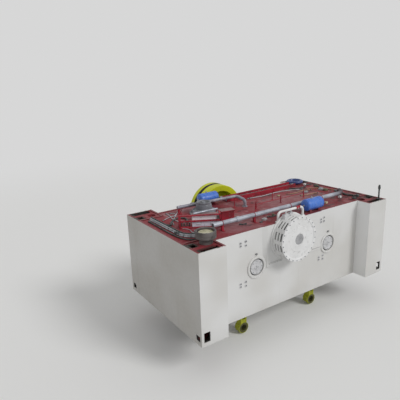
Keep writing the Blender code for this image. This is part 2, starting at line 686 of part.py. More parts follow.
def make_idlers():
    """Reduction gear and its pinion on the left idler shaft, and the right idler on its stub pin."""
    reach = boss_outer + SHAFT_COLLAR
    place = (-idler_pitch, 0, shaft_height)
    pinion = extruded(gear_outline(IDLER_TEETH, left_idler_tooth), 'Y', main_gear_front, main_gear_rear)
    piece('idler_shaft', 'machined_steel', rod_shape(IDLER_SHAFT, -reach, reach), place, joined=[pinion])
    reduction = extruded(gear_outline(REDUCTION_TEETH, reduction_tooth), 'Y', reduction_front, reduction_rear)
    hole = rod_shape(IDLER_SHAFT + GAP, reduction_front - WALL, reduction_rear + WALL)
    piece('reduction_gear', 'machined_steel', reduction, place, cut=[hole])

    place = (idler_pitch, 0, shaft_height)
    idler = extruded(gear_outline(IDLER_TEETH, right_idler_tooth), 'Y', main_gear_front, main_gear_rear)
    hole = running_hole(IDLER_SHAFT, main_gear_front - WALL, main_gear_rear + WALL)
    piece('idler_gear', 'machined_steel', idler, place, cut=[hole])
    pin_front = main_gear_front - SHAFT_COLLAR / 2
    piece('idler_pin', 'machined_steel', rod_shape(IDLER_SHAFT, pin_front, reach), place)


def make_drive_shaft():
    """Shaft from the drum to the flywheel, with the pinion that drives the reduction gear."""
    place = (-idler_pitch, 0, drive_height)
    first_tooth = meshed(reduction_tooth, REDUCTION_TEETH, PINION_TEETH, math.pi / 2)
    pinion = extruded(gear_outline(PINION_TEETH, first_tooth, flank_steps=2), 'Y', reduction_front, reduction_rear)
    rear = wall_face + FLYWHEEL_FRONT + FLYWHEEL_WIDTH + SHAFT_COLLAR
    piece('drive_shaft', 'machined_steel', rod_shape(DRIVE_SHAFT, cover_back + SHAFT_COLLAR, rear), place,
          joined=[pinion])

    hole, hub = bore(DRIVE_SHAFT, ECCENTRIC_STEPS), DRIVE_SHAFT + BRAKE_HUB_WALL
    disc_front = drum_front + DRUM_REACH / 2
    disc_rear = disc_front + BRAKE_THICKNESS
    hub_front, hub_rear = disc_front - BRAKE_THICKNESS, disc_rear + BRAKE_THICKNESS
    piece('brake_disc', 'machined_steel', turned(
        [(hole, hub_front), (hub, hub_front), (hub, disc_front), (BRAKE_RADIUS, disc_front),
         (BRAKE_RADIUS, disc_rear), (hub, disc_rear), (hub, hub_rear), (hole, hub_rear)],
        steps=ECCENTRIC_STEPS), place)


def make_flywheel():
    """Flywheel with a belt track in its rim, a thin web and a hub."""
    hole, hub = bore(DRIVE_SHAFT, FLYWHEEL_STEPS), DRIVE_SHAFT + FLYWHEEL_HUB_WALL
    front = wall_face + FLYWHEEL_FRONT
    rear = front + FLYWHEEL_WIDTH
    edge, bevelled = FLYWHEEL_RADIUS, FLYWHEEL_RADIUS - FLYWHEEL_BEVEL
    rim, track = FLYWHEEL_RADIUS - FLYWHEEL_RIM, FLYWHEEL_RADIUS - BELT_TRACK_DEPTH
    web_front = front + (FLYWHEEL_WIDTH - FLYWHEEL_WEB) / 2
    web_rear = web_front + FLYWHEEL_WEB
    track_front = front + BELT_TRACK_FROM_FRONT
    track_rear = track_front + BELT_TRACK
    hub_front = wall_face + SHAFT_COLLAR
    profile = [(hole, hub_front), (hub, hub_front), (hub, web_front), (rim, web_front), (rim, front),
               (bevelled, front), (edge, front + FLYWHEEL_BEVEL), (edge, track_front), (track, track_front),
               (track, track_rear), (edge, track_rear), (edge, rear - FLYWHEEL_BEVEL), (bevelled, rear),
               (rim, rear), (rim, web_rear), (hub, web_rear), (hub, rear), (hole, rear)]
    piece('flywheel', 'lime_paint', turned(profile, steps=FLYWHEEL_STEPS), (-idler_pitch, 0, drive_height))


def make_drum():
    """Vented round housing of the brake, its bolted cover and the cap in the cover's middle."""
    place = (-idler_pitch, 0, drive_height)
    back = -wall_face - PAD_THICKNESS - GAP
    floor = back - DRUM_FOOT_THICKNESS
    inner = DRUM_RADIUS - DRUM_SHELL
    foot = DRUM_RADIUS + DRUM_FOOT
    hole = bore(DRIVE_SHAFT, DRUM_STEPS)
    profile = [(hole, back), (foot, back), (foot, floor), (DRUM_RADIUS, floor), (DRUM_RADIUS, drum_shell_front),
               (inner, drum_shell_front), (inner, floor), (hole, floor)]
    rows = [(VENT_FIRST, VENT_FIRST_WIDTH)]
    rows += [(VENT_FIRST + row * VENT_PITCH, VENT_WIDTH) for row in (1, 2)]
    chord = DRUM_RADIUS * math.sin(VENT_ARC / 2)
    slots = []
    for group in range(VENT_GROUPS):
        angle = math.tau * (group + 0.5) / VENT_GROUPS
        for middle, width in rows:
            low, high = drum_front + middle - width / 2, drum_front + middle + width / 2
            slot = box((DRUM_RADIUS - 2 * DRUM_SHELL, low, -chord), (DRUM_RADIUS + DRUM_SHELL, high, chord))
            bmesh.ops.rotate(slot, cent=(0, 0, 0), matrix=Matrix.Rotation(-angle, 3, 'Y'), verts=slot.verts)
            slots.append(slot)
    piece('drum_housing', 'white_paint', turned(profile, steps=DRUM_STEPS), place, cut=slots)

    face = drum_front
    rim = DRUM_RADIUS - DRUM_RIM
    pad = HUB_HOLE + HUB_PAD
    piece('drum_cover', 'white_paint', turned(
        [(HUB_HOLE, cover_back), (DRUM_RADIUS, cover_back), (DRUM_RADIUS, face), (rim, face),
         (rim - DRUM_STEP, face + DRUM_STEP), (pad, face + DRUM_STEP), (pad, face), (HUB_HOLE, face)],
        steps=COVER_STEPS), place)
    piece('hub_cap', 'grey_paint', rod_shape(HUB_HOLE - GAP, face + DRUM_STEP, cover_back - DRUM_STEP,
                                             steps=COVER_STEPS), place)


def make_tie_rod_nut():
    """Nut on the front left tie rod way, a ring on a neck with a dished cover."""
    neck = TIE_BORE + NUT_NECK_WALL
    ring = neck + NUT_OVERHANG
    shoulder = on_deck + NUT_NECK_HEIGHT
    top = shoulder + NUT_HEIGHT
    dish, floor = ring - NUT_LIP, top - NUT_DISH
    place = (-tie_x, -tie_y, 0)
    piece('tie_rod_nut', 'grey_paint', turned(
        [(TIE_BORE, on_deck), (neck, on_deck), (neck, shoulder), (ring, shoulder), (ring, top), (dish, top),
         (dish, floor), (TIE_BORE, floor)], 'Z', NUT_STEPS), place)
    cover = rod_shape(dish - NUT_COVER_CLEARANCE, floor + GAP, floor + GAP + NUT_COVER, 'Z', NUT_STEPS)
    piece('nut_cover', 'beige_cover', cover, place)


def make_tank(name, x, y):
    """Lying air tank with domed ends, on two saddles of its own."""
    half = TANK_LENGTH / 2
    dome_steps = 3
    arc = [math.pi / 2 * step / dome_steps for step in range(dome_steps + 1)]
    left = [(TANK_RADIUS * math.sin(angle), -half + TANK_DOME * (1 - math.cos(angle))) for angle in arc]
    profile = left + [(radius, -place) for radius, place in reversed(left)]
    saddles = []
    for side in SIDES.values():
        middle = side * SADDLE_FROM_MIDDLE
        saddles.append(box((middle - SADDLE_LENGTH / 2, -SADDLE_WIDTH / 2, -TANK_RADIUS - TANK_FOOT),
                           (middle + SADDLE_LENGTH / 2, SADDLE_WIDTH / 2, -TANK_RADIUS / 2)))
    centre = (x, y, on_deck + TANK_FOOT + TANK_RADIUS)
    piece(name, 'blue_paint', turned(profile, 'X', TANK_STEPS), centre, joined=[together(saddles)])


def make_heads():
    """Stepped round head with a dished top, and the low round vessel over the rear right tie rod way."""
    flange = on_deck + HEAD_FLANGE
    shoulder = flange + HEAD_SHOULDER
    top = on_deck + HEAD_HEIGHT
    wide, middle = HEAD_RADIUS, HEAD_RADIUS - HEAD_STEP
    piece('cylinder_head', 'grey_paint', turned(
        [(0, on_deck), (wide, on_deck), (wide, flange), (middle, flange), (middle, shoulder),
         (HEAD_RING, top - HEAD_RING_HEIGHT), (HEAD_RING, top), (HEAD_RING - HEAD_STEP, top),
         (HEAD_RING - 2 * HEAD_STEP, top - HEAD_DISH), (0, top - HEAD_DISH)], 'Z', HEAD_STEPS), (*HEAD_PLACE, 0))
    foot, top = on_deck + VESSEL_FOOT, on_deck + VESSEL_HEIGHT
    neck = TIE_BORE + NUT_NECK_WALL
    wide, narrow, dish = VESSEL_RADIUS, VESSEL_RADIUS - VESSEL_BEVEL, VESSEL_RADIUS - VESSEL_RIM
    piece('round_vessel', 'blue_paint', turned(
        [(TIE_BORE, on_deck), (neck, on_deck), (neck, foot), (narrow, foot), (wide, foot + VESSEL_BEVEL),
         (wide, top - VESSEL_BEVEL), (narrow, top), (dish, top), (dish - VESSEL_BEVEL, top - VESSEL_DISH),
         (TIE_BORE, top - VESSEL_DISH)], 'Z', HEAD_STEPS), (tie_x, tie_y, 0))


def make_channel():
    """Raised open channel along the rear of the deck."""
    rear = inner_face - GAP
    front = rear - CHANNEL_WIDTH
    high = on_deck + CHANNEL_HEIGHT
    floor = on_deck + CHANNEL_PLATE
    outline = [(front, on_deck), (rear, on_deck), (rear, high), (rear - CHANNEL_PLATE, high),
               (rear - CHANNEL_PLATE, floor), (front + CHANNEL_PLATE, floor), (front + CHANNEL_PLATE, high),
               (front, high)]
    end = tie_x - VESSEL_RADIUS - CHANNEL_PLATE
    piece('rear_channel', 'red_oxide', extruded(outline, 'X', CHANNEL_START, end))


def make_pipes():
    y = -tank_y + FRONT_PIPE_BEHIND_TANK
    route = [(FRONT_PIPE_START, y, pipe_height), (FRONT_PIPE_BEND, y, pipe_height),
             (*FRONT_PIPE_END, pipe_height), (*FRONT_PIPE_END, on_deck)]
    half = REST_WIDTH / 2
    rests = [box((x - half, y - half, on_deck), (x + half, y + half, pipe_height)) for x in REST_PLACES]
    mouth = rod_shape(PIPE_BORE, FRONT_PIPE_START - PIPE_MOUTH, FRONT_PIPE_START + PIPE_MOUTH, 'X', PIPE_SIDES,
                      (0, y, pipe_height))
    piece('front_pipe', 'grey_pipe', swept_pipe(rounded_route(route, 3 * PIPE_RADIUS), PIPE_RADIUS),
          joined=[together(rests)], cut=[mouth])
    y = tank_y - REAR_PIPE_BEFORE_TANK
    route = [(REAR_PIPE_START, y, on_deck), (REAR_PIPE_START, y, pipe_height), (*REAR_PIPE_BEND, pipe_height),
             (*REAR_PIPE_END, pipe_height), (*REAR_PIPE_END, on_deck)]
    piece('rear_pipe', 'grey_pipe', swept_pipe(rounded_route(route, 2.5 * REAR_PIPE_RADIUS), REAR_PIPE_RADIUS))


def make_boxes():
    """Valve cabinet in its bar frame and the junction box beside it, set askew on the deck."""
    half_x, half_y = CABINET_LENGTH / 2, CABINET_DEPTH / 2
    foot = on_deck + BAR + GAP
    head = foot + CABINET_HEIGHT
    niche = box((-half_x + CABINET_NICHE, -half_y - CABINET_NICHE, foot + CABINET_NICHE),
                (half_x - CABINET_NICHE, -half_y + CABINET_NICHE, head - CABINET_NICHE))
    piece('valve_cabinet', 'white_paint', box((-half_x, -half_y, foot), (half_x, half_y, head)),
          (*CABINET_PLACE, 0), CABINET_TURN, cut=[niche])
    left, right = -half_x - FRAME_REACH, half_x + GAP + FRAME_MARGIN
    front, rear = -half_y - FRAME_MARGIN, half_y + FRAME_MARGIN
    over = head + GAP
    base = box((left, front, on_deck), (right, rear, foot - GAP))
    end = box((half_x + GAP, front, on_deck + BAR / 2), (right, rear, over + BAR))
    bar = box((left, front, over), (right, front + 2 * BAR, over + BAR))
    post = box((left, front, on_deck + BAR / 2), (left + 2 * BAR, front + 2 * BAR, over + BAR / 2))
    piece('cabinet_frame', 'red_oxide', base, (*CABINET_PLACE, 0), CABINET_TURN, joined=[end, bar, post])
    half_x, half_y = JUNCTION_LENGTH / 2, JUNCTION_DEPTH / 2
    top = on_deck + JUNCTION_HEIGHT
    lid = box((-half_x - JUNCTION_LID, -half_y - JUNCTION_LID, top),
              (half_x + JUNCTION_LID, half_y + JUNCTION_LID, top + JUNCTION_LID_HEIGHT))
    piece('junction_box', 'red_oxide', box((-half_x, -half_y, on_deck), (half_x, half_y, top + JUNCTION_LID)),
          (*JUNCTION_PLACE, 0), JUNCTION_TURN, joined=[lid])


def make_rail():
    """Low rail of three posts and one bar, and the single post at the front right corner."""
    post, bar = RAIL_POST / 2, RAIL_BAR / 2
    low = on_deck + RAIL_BAR_HEIGHT
    posts = [box((x - post, -post, on_deck), (x + post, post, on_deck + RAIL_HEIGHT)) for x in RAIL_PLACES]
    rail = box((RAIL_PLACES[0], -bar, low), (RAIL_PLACES[-1], bar, low + RAIL_BAR))
    piece('deck_rail', 'red_oxide', rail, (0, RAIL_Y, 0), joined=[together(posts)])
    half = POST_WIDTH / 2
    piece('corner_post', 'dark_hose', box((-half, -half, on_deck), (half, half, on_deck + POST_HEIGHT)),
          (half_length - POST_FROM_END, -half_width + POST_FROM_FRONT, 0))


def make_hose_run():
    """Bundle of hoses clipped along the left edge of the deck."""
    x = -half_length + HOSE_FROM_END
    end = column_back - HOSE_FROM_COLUMN
    z = on_deck + HOSE_RADIUS
    route = [(x, end, z), (x, HOSE_TURN / 2 - end, z), (x + HOSE_TURN / 2, -end, z),
             (x + HOSE_TURN, HOSE_TURN / 4 - end, z)]
    piece('hose_run', 'dark_hose', swept_pipe(rounded_route(route, 2 * HOSE_RADIUS), HOSE_RADIUS))


def make_loop():
    """Pipe loop on the front wall's top edge, behind the drum, with its coupling."""
    y = -wall_face + WALL / 2
    foot, top = HEIGHT + GAP, HEIGHT + LOOP_HEIGHT
    route = [(LOOP_LEFT, y, foot), (LOOP_LEFT, y, top), (LOOP_RIGHT, y, top), (LOOP_RIGHT, y, foot)]
    piece('pipe_loop', 'white_paint', swept_pipe(rounded_route(route, LOOP_BEND), LOOP_RADIUS))
    hole, half = bore(LOOP_RADIUS, LOOP_SIDES), COUPLING_LENGTH / 2
    piece('loop_coupling', 'red_oxide', turned(
        [(hole, -half), (COUPLING_RADIUS, -half), (COUPLING_RADIUS, half), (hole, half)], 'X', LOOP_SIDES),
        (COUPLING_PLACE, y, top))


clear_scene()
paints = {name: make_paint(name) for name in PAINTS}
for end_name, end_side in ENDS.items():
    make_long_wall(end_name, end_side)
    make_bearing_web(end_name, end_side)
    for side_name, side_sign in SIDES.items():
        corner = f'{end_name}_{side_name}'
        make_column(corner, side_sign, end_side)
        make_tie_tube(corner, side_sign, end_side)
        make_wall_bearing(corner, side_sign, end_side)
        make_rod(corner, side_sign, end_side)
make_floor_and_deck()
for side_name, side_sign in SIDES.items():
    make_end_wall(side_name, side_sign)
    make_eccentric_shaft(side_name, side_sign)
    make_main_gear(side_name, side_sign)
make_idlers()
make_drive_shaft()
make_flywheel()
make_drum()
make_tie_rod_nut()
make_tank('front_air_tank', FRONT_TANK_X, -tank_y)
make_tank('rear_air_tank', REAR_TANK_X, tank_y)
make_heads()
make_channel()
make_pipes()
make_boxes()
make_rail()
make_hose_run()
make_loop()
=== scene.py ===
import json
import math
import random

import bmesh
import bpy
from mathutils import Matrix, Vector


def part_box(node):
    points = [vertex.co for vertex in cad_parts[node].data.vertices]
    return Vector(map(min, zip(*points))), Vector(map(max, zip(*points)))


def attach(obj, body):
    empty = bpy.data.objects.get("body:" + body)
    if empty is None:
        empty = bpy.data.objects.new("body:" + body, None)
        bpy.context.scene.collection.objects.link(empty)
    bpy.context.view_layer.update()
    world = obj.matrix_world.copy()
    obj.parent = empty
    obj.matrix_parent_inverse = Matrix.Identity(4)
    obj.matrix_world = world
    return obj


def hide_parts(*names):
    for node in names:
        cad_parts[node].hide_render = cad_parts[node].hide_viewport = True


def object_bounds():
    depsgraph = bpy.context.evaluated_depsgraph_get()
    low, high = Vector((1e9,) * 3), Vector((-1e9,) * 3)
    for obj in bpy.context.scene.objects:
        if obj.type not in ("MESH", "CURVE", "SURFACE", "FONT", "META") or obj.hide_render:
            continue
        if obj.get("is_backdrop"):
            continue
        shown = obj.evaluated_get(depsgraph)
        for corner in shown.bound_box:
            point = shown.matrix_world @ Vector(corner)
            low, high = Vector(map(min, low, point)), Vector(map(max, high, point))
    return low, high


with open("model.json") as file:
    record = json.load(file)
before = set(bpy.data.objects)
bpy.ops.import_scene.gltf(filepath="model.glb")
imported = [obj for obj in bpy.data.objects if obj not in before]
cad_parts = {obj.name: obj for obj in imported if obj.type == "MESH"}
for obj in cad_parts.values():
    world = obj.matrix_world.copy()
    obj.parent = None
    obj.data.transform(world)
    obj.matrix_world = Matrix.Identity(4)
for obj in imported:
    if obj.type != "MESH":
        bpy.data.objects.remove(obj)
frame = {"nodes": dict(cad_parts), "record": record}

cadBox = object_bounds()

# Where things are on the crown, in metres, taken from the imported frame
gap = 0.0005                           # between faces that would otherwise lie in one plane
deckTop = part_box('deck_plate')[1].z
onDeck = deckTop + gap
wallLow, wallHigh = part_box('front_wall')
wallEdge, wallTop = wallHigh.x, wallHigh.z
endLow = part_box('left_end_wall')[0]
halfLength = -endLow.x
columnInside = (halfLength - 0.012, -endLow.y - 0.012)   # half length and half width, less a plate


def arithmetic(operation, swapped=False):
    # method that adds a maths node for a socket and another value, if there is one
    def apply(wire, other=None):
        values = (other, wire) if swapped else (wire, other)
        sockets = {index: value for index, value in enumerate(values) if value is not None}
        return wire.finish.node('ShaderNodeMath', {'operation': operation}, sockets)
    return apply


# Shader sockets with the usual arithmetic
class Wire:
    def __init__(self, finish, socket):
        self.finish = finish
        self.socket = socket

    __add__ = arithmetic('ADD')
    __radd__ = arithmetic('ADD', swapped=True)
    __sub__ = arithmetic('SUBTRACT')
    __rsub__ = arithmetic('SUBTRACT', swapped=True)
    __mul__ = arithmetic('MULTIPLY')
    __rmul__ = arithmetic('MULTIPLY', swapped=True)
    __pow__ = arithmetic('POWER')
    __rpow__ = arithmetic('POWER', swapped=True)
    __gt__ = arithmetic('GREATER_THAN')
    __lt__ = arithmetic('LESS_THAN')
    __abs__ = arithmetic('ABSOLUTE')


# A material with one Principled shader, or the world, and short ways to add nodes to it
class Finish:
    def __init__(self, name, world=None):
        self.material = world or bpy.data.materials.new(name)
        self.material.use_nodes = True
        self.tree = self.material.node_tree
        self.shader = self.tree.nodes['Background' if world else 'Principled BSDF']
        self.spot = self.node('ShaderNodeTexCoord', output='Object')

    def node(self, kind, settings=None, sockets=None, output=0):
        made = self.tree.nodes.new(kind)
        for name, value in (settings or {}).items():
            setattr(made, name, value)
        for name, value in (sockets or {}).items():
            if isinstance(value, Wire):
                self.tree.links.new(value.socket, made.inputs[name])
            else:
                made.inputs[name].default_value = value
        return Wire(self, made.outputs[output])

    def noise(self, scale, detail=3.0, stretch=None, roughness=0.5):
        where = self.spot
        if stretch:
            where = self.node('ShaderNodeVectorMath', {'operation': 'MULTIPLY'}, {0: where, 1: stretch})
        sockets = {'Vector': where, 'Scale': scale, 'Detail': detail, 'Roughness': roughness}
        return self.node('ShaderNodeTexNoise', sockets=sockets)

    def between(self, value, low, high, least=0.0, most=1.0):
        sockets = {'Value': value, 'From Min': low, 'From Max': high, 'To Min': least, 'To Max': most}
        return self.node('ShaderNodeMapRange', {'interpolation_type': 'SMOOTHSTEP'}, sockets)

    def mix(self, share, first, second):
        sockets = {0: share, 6: paint(first), 7: paint(second)}
        return self.node('ShaderNodeMix', {'data_type': 'RGBA'}, sockets, output=2)

    def axes(self, vector=None):
        split = self.node('ShaderNodeSeparateXYZ', sockets={0: vector or self.spot})
        return [Wire(self, output) for output in split.socket.node.outputs]

    def facing(self):
        return self.axes(self.node('ShaderNodeNewGeometry', output='Normal'))

    def bump(self, height, distance, strength=0.6):
        sockets = {'Height': height, 'Distance': distance, 'Strength': strength}
        bumped = self.node('ShaderNodeBump', sockets=sockets, output='Normal')
        self.set(Normal=bumped)

    def set(self, **values):
        for name, value in values.items():
            socket = self.shader.inputs[name.replace('_', ' ')]
            if isinstance(value, Wire):
                self.tree.links.new(value.socket, socket)
            else:
                socket.default_value = paint(value) if name == 'Base_Color' else value


def paint(colour):
    return (*colour, 1.0) if isinstance(colour, tuple) and len(colour) == 3 else colour


# Camera
camera = {
    'place': (-8.205, -9.350, 6.093),
    'right': (0.83185, -0.55375, -0.03731),
    'forward': (0.52559, 0.80758, -0.26753),
    'focal': 428,                      # in pixels of a frame 400 across
    'frame': 400,
    'sensor': 36,
}
right, forward = Vector(camera['right']), Vector(camera['forward'])
data = bpy.data.cameras.new('camera')
data.sensor_width = camera['sensor']
data.lens = camera['sensor'] * camera['focal'] / camera['frame']
data.clip_end = 300
cameraObject = bpy.data.objects.new('camera', data)
up = right.cross(forward)
turn = Matrix((right, up, -forward)).transposed().to_4x4()
cameraObject.matrix_world = Matrix.Translation(camera['place']) @ turn
bpy.context.scene.collection.objects.link(cameraObject)
bpy.context.scene.camera = cameraObject
print('camera')

# Stage and light
stage = {
    'floor': -0.93,                    # just under the rods' eyes
    'radius': 70,
    'paper': (0.84, 0.84, 0.83),
    'paperBounce': (0.60, 0.60, 0.59), # what the object gets back from it
    'far': 0.68,
    'fade': (14, 34),                  # from the floor's own shade to the backdrop's
    'sky': 0.50,
    'sun': 1.35,
    'sunTurn': (53, 0, 25),            # degrees
    'sunSpread': 20,
}
bpy.context.scene.view_settings.view_transform = 'Standard'


def makeStage():
    shape = bmesh.new()
    bmesh.ops.create_circle(shape, cap_ends=True, segments=64, radius=stage['radius'])
    mesh = bpy.data.meshes.new('floor')
    shape.to_mesh(mesh)
    shape.free()
    floor = bpy.data.objects.new('floor', mesh)
    floor.location.z = stage['floor']
    bpy.context.scene.collection.objects.link(floor)
    finish = Finish('floorPaper')
    distance = finish.node('ShaderNodeVectorMath', {'operation': 'LENGTH'}, {0: finish.spot}, output='Value')
    far = finish.between(distance, *stage['fade'])
    seen = finish.node('ShaderNodeLightPath', output='Is Camera Ray')
    shown = finish.node('ShaderNodeLightPath', output='Is Glossy Ray')
    finish.set(Base_Color=finish.mix(seen + shown, stage['paperBounce'], stage['paper']), Roughness=0.8)
    glow = finish.node('ShaderNodeEmission', sockets={'Color': (1, 1, 1, 1), 'Strength': stage['far']})
    paper = Wire(finish, finish.shader.outputs[0])
    blend = finish.node('ShaderNodeMixShader', sockets={0: far, 1: paper, 2: glow})
    finish.tree.links.new(blend.socket, finish.tree.nodes['Material Output'].inputs['Surface'])
    mesh.materials.append(finish.material)
    floor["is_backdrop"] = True


def makeLight():
    world = bpy.data.worlds.new('world')
    bpy.context.scene.world = world
    sky = Finish('sky', world)
    seen, shown, through = [sky.node('ShaderNodeLightPath', output=f'Is {kind} Ray')
                            for kind in ('Camera', 'Glossy', 'Transmission')]
    strength = sky.between(seen + shown + through, 0, 1, stage['sky'], stage['far'])
    sky.set(Color=(1, 1, 1, 1), Strength=strength)
    lamp = bpy.data.lights.new('hallLight', 'SUN')
    lamp.energy = stage['sun']
    lamp.angle = math.radians(stage['sunSpread'])
    lampObject = bpy.data.objects.new('hallLight', lamp)
    lampObject.rotation_euler = [math.radians(angle) for angle in stage['sunTurn']]
    bpy.context.scene.collection.objects.link(lampObject)


makeStage()
makeLight()
print('stage and light')

# Finishes
beltTrack = (1.888, 2.022)             # front and rear edges of the flywheel's dark belt track
axle = (-0.28, 1.98)                   # x and z of the drum's and the flywheel's axis
whitePaint = {
    'fresh': (0.74, 0.74, 0.735),
    'aged': (0.64, 0.63, 0.605),
    'grime': (0.30, 0.27, 0.22),
    'edge': (0.20, 0.03, 0.035),       # oxide on the plates' upper edges
    'leftGrimeAndShade': 0.34,                  # share of grime and painted shade on the left end
    'rightColumnPaintedLight': (0.88, 0.88, 0.875),   # painted light: left-facing sides of the right columns made whiter
    'inside': (0.035, 0.03, 0.028),    # painted shade inside the hollow columns
    'stain': (0.030, 0.026, 0.020),
    'rough': (0.38, 0.62),
}
redPaint = {
    'fresh': (0.23, 0.022, 0.030),
    'faded': (0.27, 0.095, 0.105),
    'dust': (0.40, 0.27, 0.275),
    'oil': (0.035, 0.020, 0.020),
    'middle': (2.67, 0.05),            # half length of the faded middle, and its soft edge
    'rough': (0.50, 0.85),
}

# Oil and painted shade round the rods' lower eyes: where they are, how far it reaches, and an even painted
# shade (the film) on the rest
rodEyesOilAndShade = {'x': 1.38, 'z': -0.74, 'clean': 0.165, 'soft': 0.02, 'share': 0.9, 'film': 0.42,
           'oil': (0.035, 0.030, 0.015)}


def cornerStain(finish, x, y):
    # oil and dirt round the slots of the corner plates
    front = finish.between(abs(x), 2.80, 2.90) * finish.between(abs(x), 3.36, 3.42, 1.0, 0.0)
    front = front * finish.between(abs(y), 1.60, 1.70)
    side = finish.between(abs(x), 3.10, 3.20) * finish.between(abs(y), 1.18, 1.26)
    side = side * finish.between(abs(y), 1.46, 1.54, 1.0, 0.0)
    return (front + side) * finish.between(finish.noise(6.0, 5, roughness=0.6), 0.28, 0.42)


def makeWhite():
    finish = Finish('whitePaint')
    x, y, z = finish.axes()
    normalX, normalZ = finish.facing()[::2]
    broad = finish.noise(0.55, 2)
    cloudy = finish.between(broad, 0.35, 0.70)
    runs = finish.noise(1.0, 4, stretch=(5.0, 5.0, 0.35))
    specks = finish.noise(55, 2)
    grime = finish.between(runs, 0.60, 0.80) * 0.16 + finish.between(specks, 0.70, 0.78) * 0.30
    foot = finish.between(z, 0.0, 0.45, 0.22, 0.0) * finish.noise(2.5, 4)
    colour = finish.mix(cloudy, whitePaint['fresh'], whitePaint['aged'])
    colour = finish.mix(grime + foot, colour, whitePaint['grime'])
    # grime and painted shade on the left-facing faces of the left end
    leftEndGrimeAndShade = (x < -halfLength + 0.02) * (normalX < -0.5)
    colour = finish.mix(leftEndGrimeAndShade * whitePaint['leftGrimeAndShade'], colour, whitePaint['grime'])
    # painted light: the left-facing sides of the right columns are made whiter
    rightColumnPaintedLight = (x > 2.4) * (x < halfLength - 0.05) * (normalX < -0.5)
    colour = finish.mix(rightColumnPaintedLight, colour, whitePaint['rightColumnPaintedLight'])
    top = (normalZ > 0.5) * (z > wallTop - 0.01) * (z < wallTop + 0.01)
    top = top * ((abs(x) > wallEdge) + (abs(y) < abs(wallLow.y) - 0.02))
    reach, depth = columnInside
    lip = (z > deckTop - 0.002) * (z < wallTop + 0.01) * (abs(x) < reach) * (abs(y) < depth)
    lip = lip * ((abs(x) > wallEdge + 0.01) + (abs(y) < abs(wallLow.y) - 0.06))
    stained = finish.mix(cornerStain(finish, x, y), whitePaint['edge'], whitePaint['stain'])
    chipped = finish.between(abs(y), 1.870, 1.880) * (abs(x) > wallEdge)
    chipped = chipped * finish.between(finish.noise(14, 4), 0.40, 0.50)
    stained = finish.mix(chipped, stained, whitePaint['aged'])
    colour = finish.mix(top + lip, colour, stained)
    # painted shade on the faces inside the hollow columns
    inside = (abs(x) > wallEdge + 0.03) * (abs(x) < reach) * (abs(y) < depth) * (z < wallTop - 0.012)
    colour = finish.mix(inside, colour, whitePaint['inside'])
    waves = finish.noise(2.2, 2) * 0.7 + finish.noise(90, 2) * 0.012
    finish.set(Base_Color=colour)
    finish.set(Roughness=finish.between(finish.noise(9, 4), 0.3, 0.7, *whitePaint['rough']))
    finish.bump(waves, 0.012, 0.35)
    return finish.material


def makeRed():
    finish = Finish('redOxide')
    x, y = finish.axes()[:2]
    patches = finish.between(finish.noise(1.1, 5), 0.40, 0.62)
    dust = finish.between(finish.noise(4.5, 6, roughness=0.62), 0.52, 0.74) * 0.5
    oil = finish.between(finish.noise(1.9, 6, stretch=(1.0, 1.6, 1.0), roughness=0.6), 0.54, 0.66) * 0.75
    scuffs = finish.between(finish.noise(3.0, 6, stretch=(1.0, 9.0, 1.0), roughness=0.7), 0.62, 0.70) * 0.5
    reach, soft = redPaint['middle']
    middle = finish.between(abs(x), reach - soft, reach, 1.0, 0.12)
    faded = finish.mix(patches * middle, redPaint['fresh'], redPaint['faded'])
    dusty = finish.mix((dust + scuffs) * middle, faded, redPaint['dust'])
    dirty = finish.mix(oil * middle, dusty, redPaint['oil'])
    splashes = finish.between(finish.noise(3.4, 5, roughness=0.6), 0.44, 0.58)
    spilt = finish.between(x, 1.7, 2.4) * splashes * 0.7
    dirty = finish.mix(spilt, dirty, redPaint['oil'])
    finish.set(Base_Color=finish.mix(cornerStain(finish, x, y), dirty, whitePaint['stain']))
    finish.set(Roughness=finish.between(finish.noise(7, 4), 0.3, 0.7, *redPaint['rough']))
    finish.bump(finish.noise(12, 5) + dust, 0.004, 0.5)
    return finish.material


def makeBrightRed():
    finish = Finish('brightRed')
    patches = finish.between(finish.noise(3.0, 4), 0.42, 0.66)
    dust = finish.between(finish.noise(16, 5), 0.56, 0.76) * 0.3
    colour = finish.mix(patches, (0.36, 0.012, 0.03), (0.20, 0.012, 0.022))
    finish.set(Base_Color=finish.mix(dust, colour, redPaint['dust']), Roughness=0.55)
    finish.bump(finish.noise(40, 3), 0.002, 0.4)
    return finish.material


def makeBlue():
    finish = Finish('bluePaint')
    z = finish.axes()[2]
    tone = finish.between(finish.noise(2.4, 3), 0.35, 0.68)
    dust = finish.between(finish.noise(13, 5), 0.50, 0.75)
    dust = dust * finish.between(z, deckTop, deckTop + 0.4, 0.35, 0.12)
    colour = finish.mix(tone, (0.040, 0.145, 0.58), (0.07, 0.20, 0.64))
    finish.set(Base_Color=finish.mix(dust, colour, (0.42, 0.43, 0.44)))
    finish.set(Roughness=finish.between(finish.noise(20, 3), 0.3, 0.7, 0.24, 0.46))
    finish.bump(finish.noise(60, 2), 0.001, 0.3)
    return finish.material


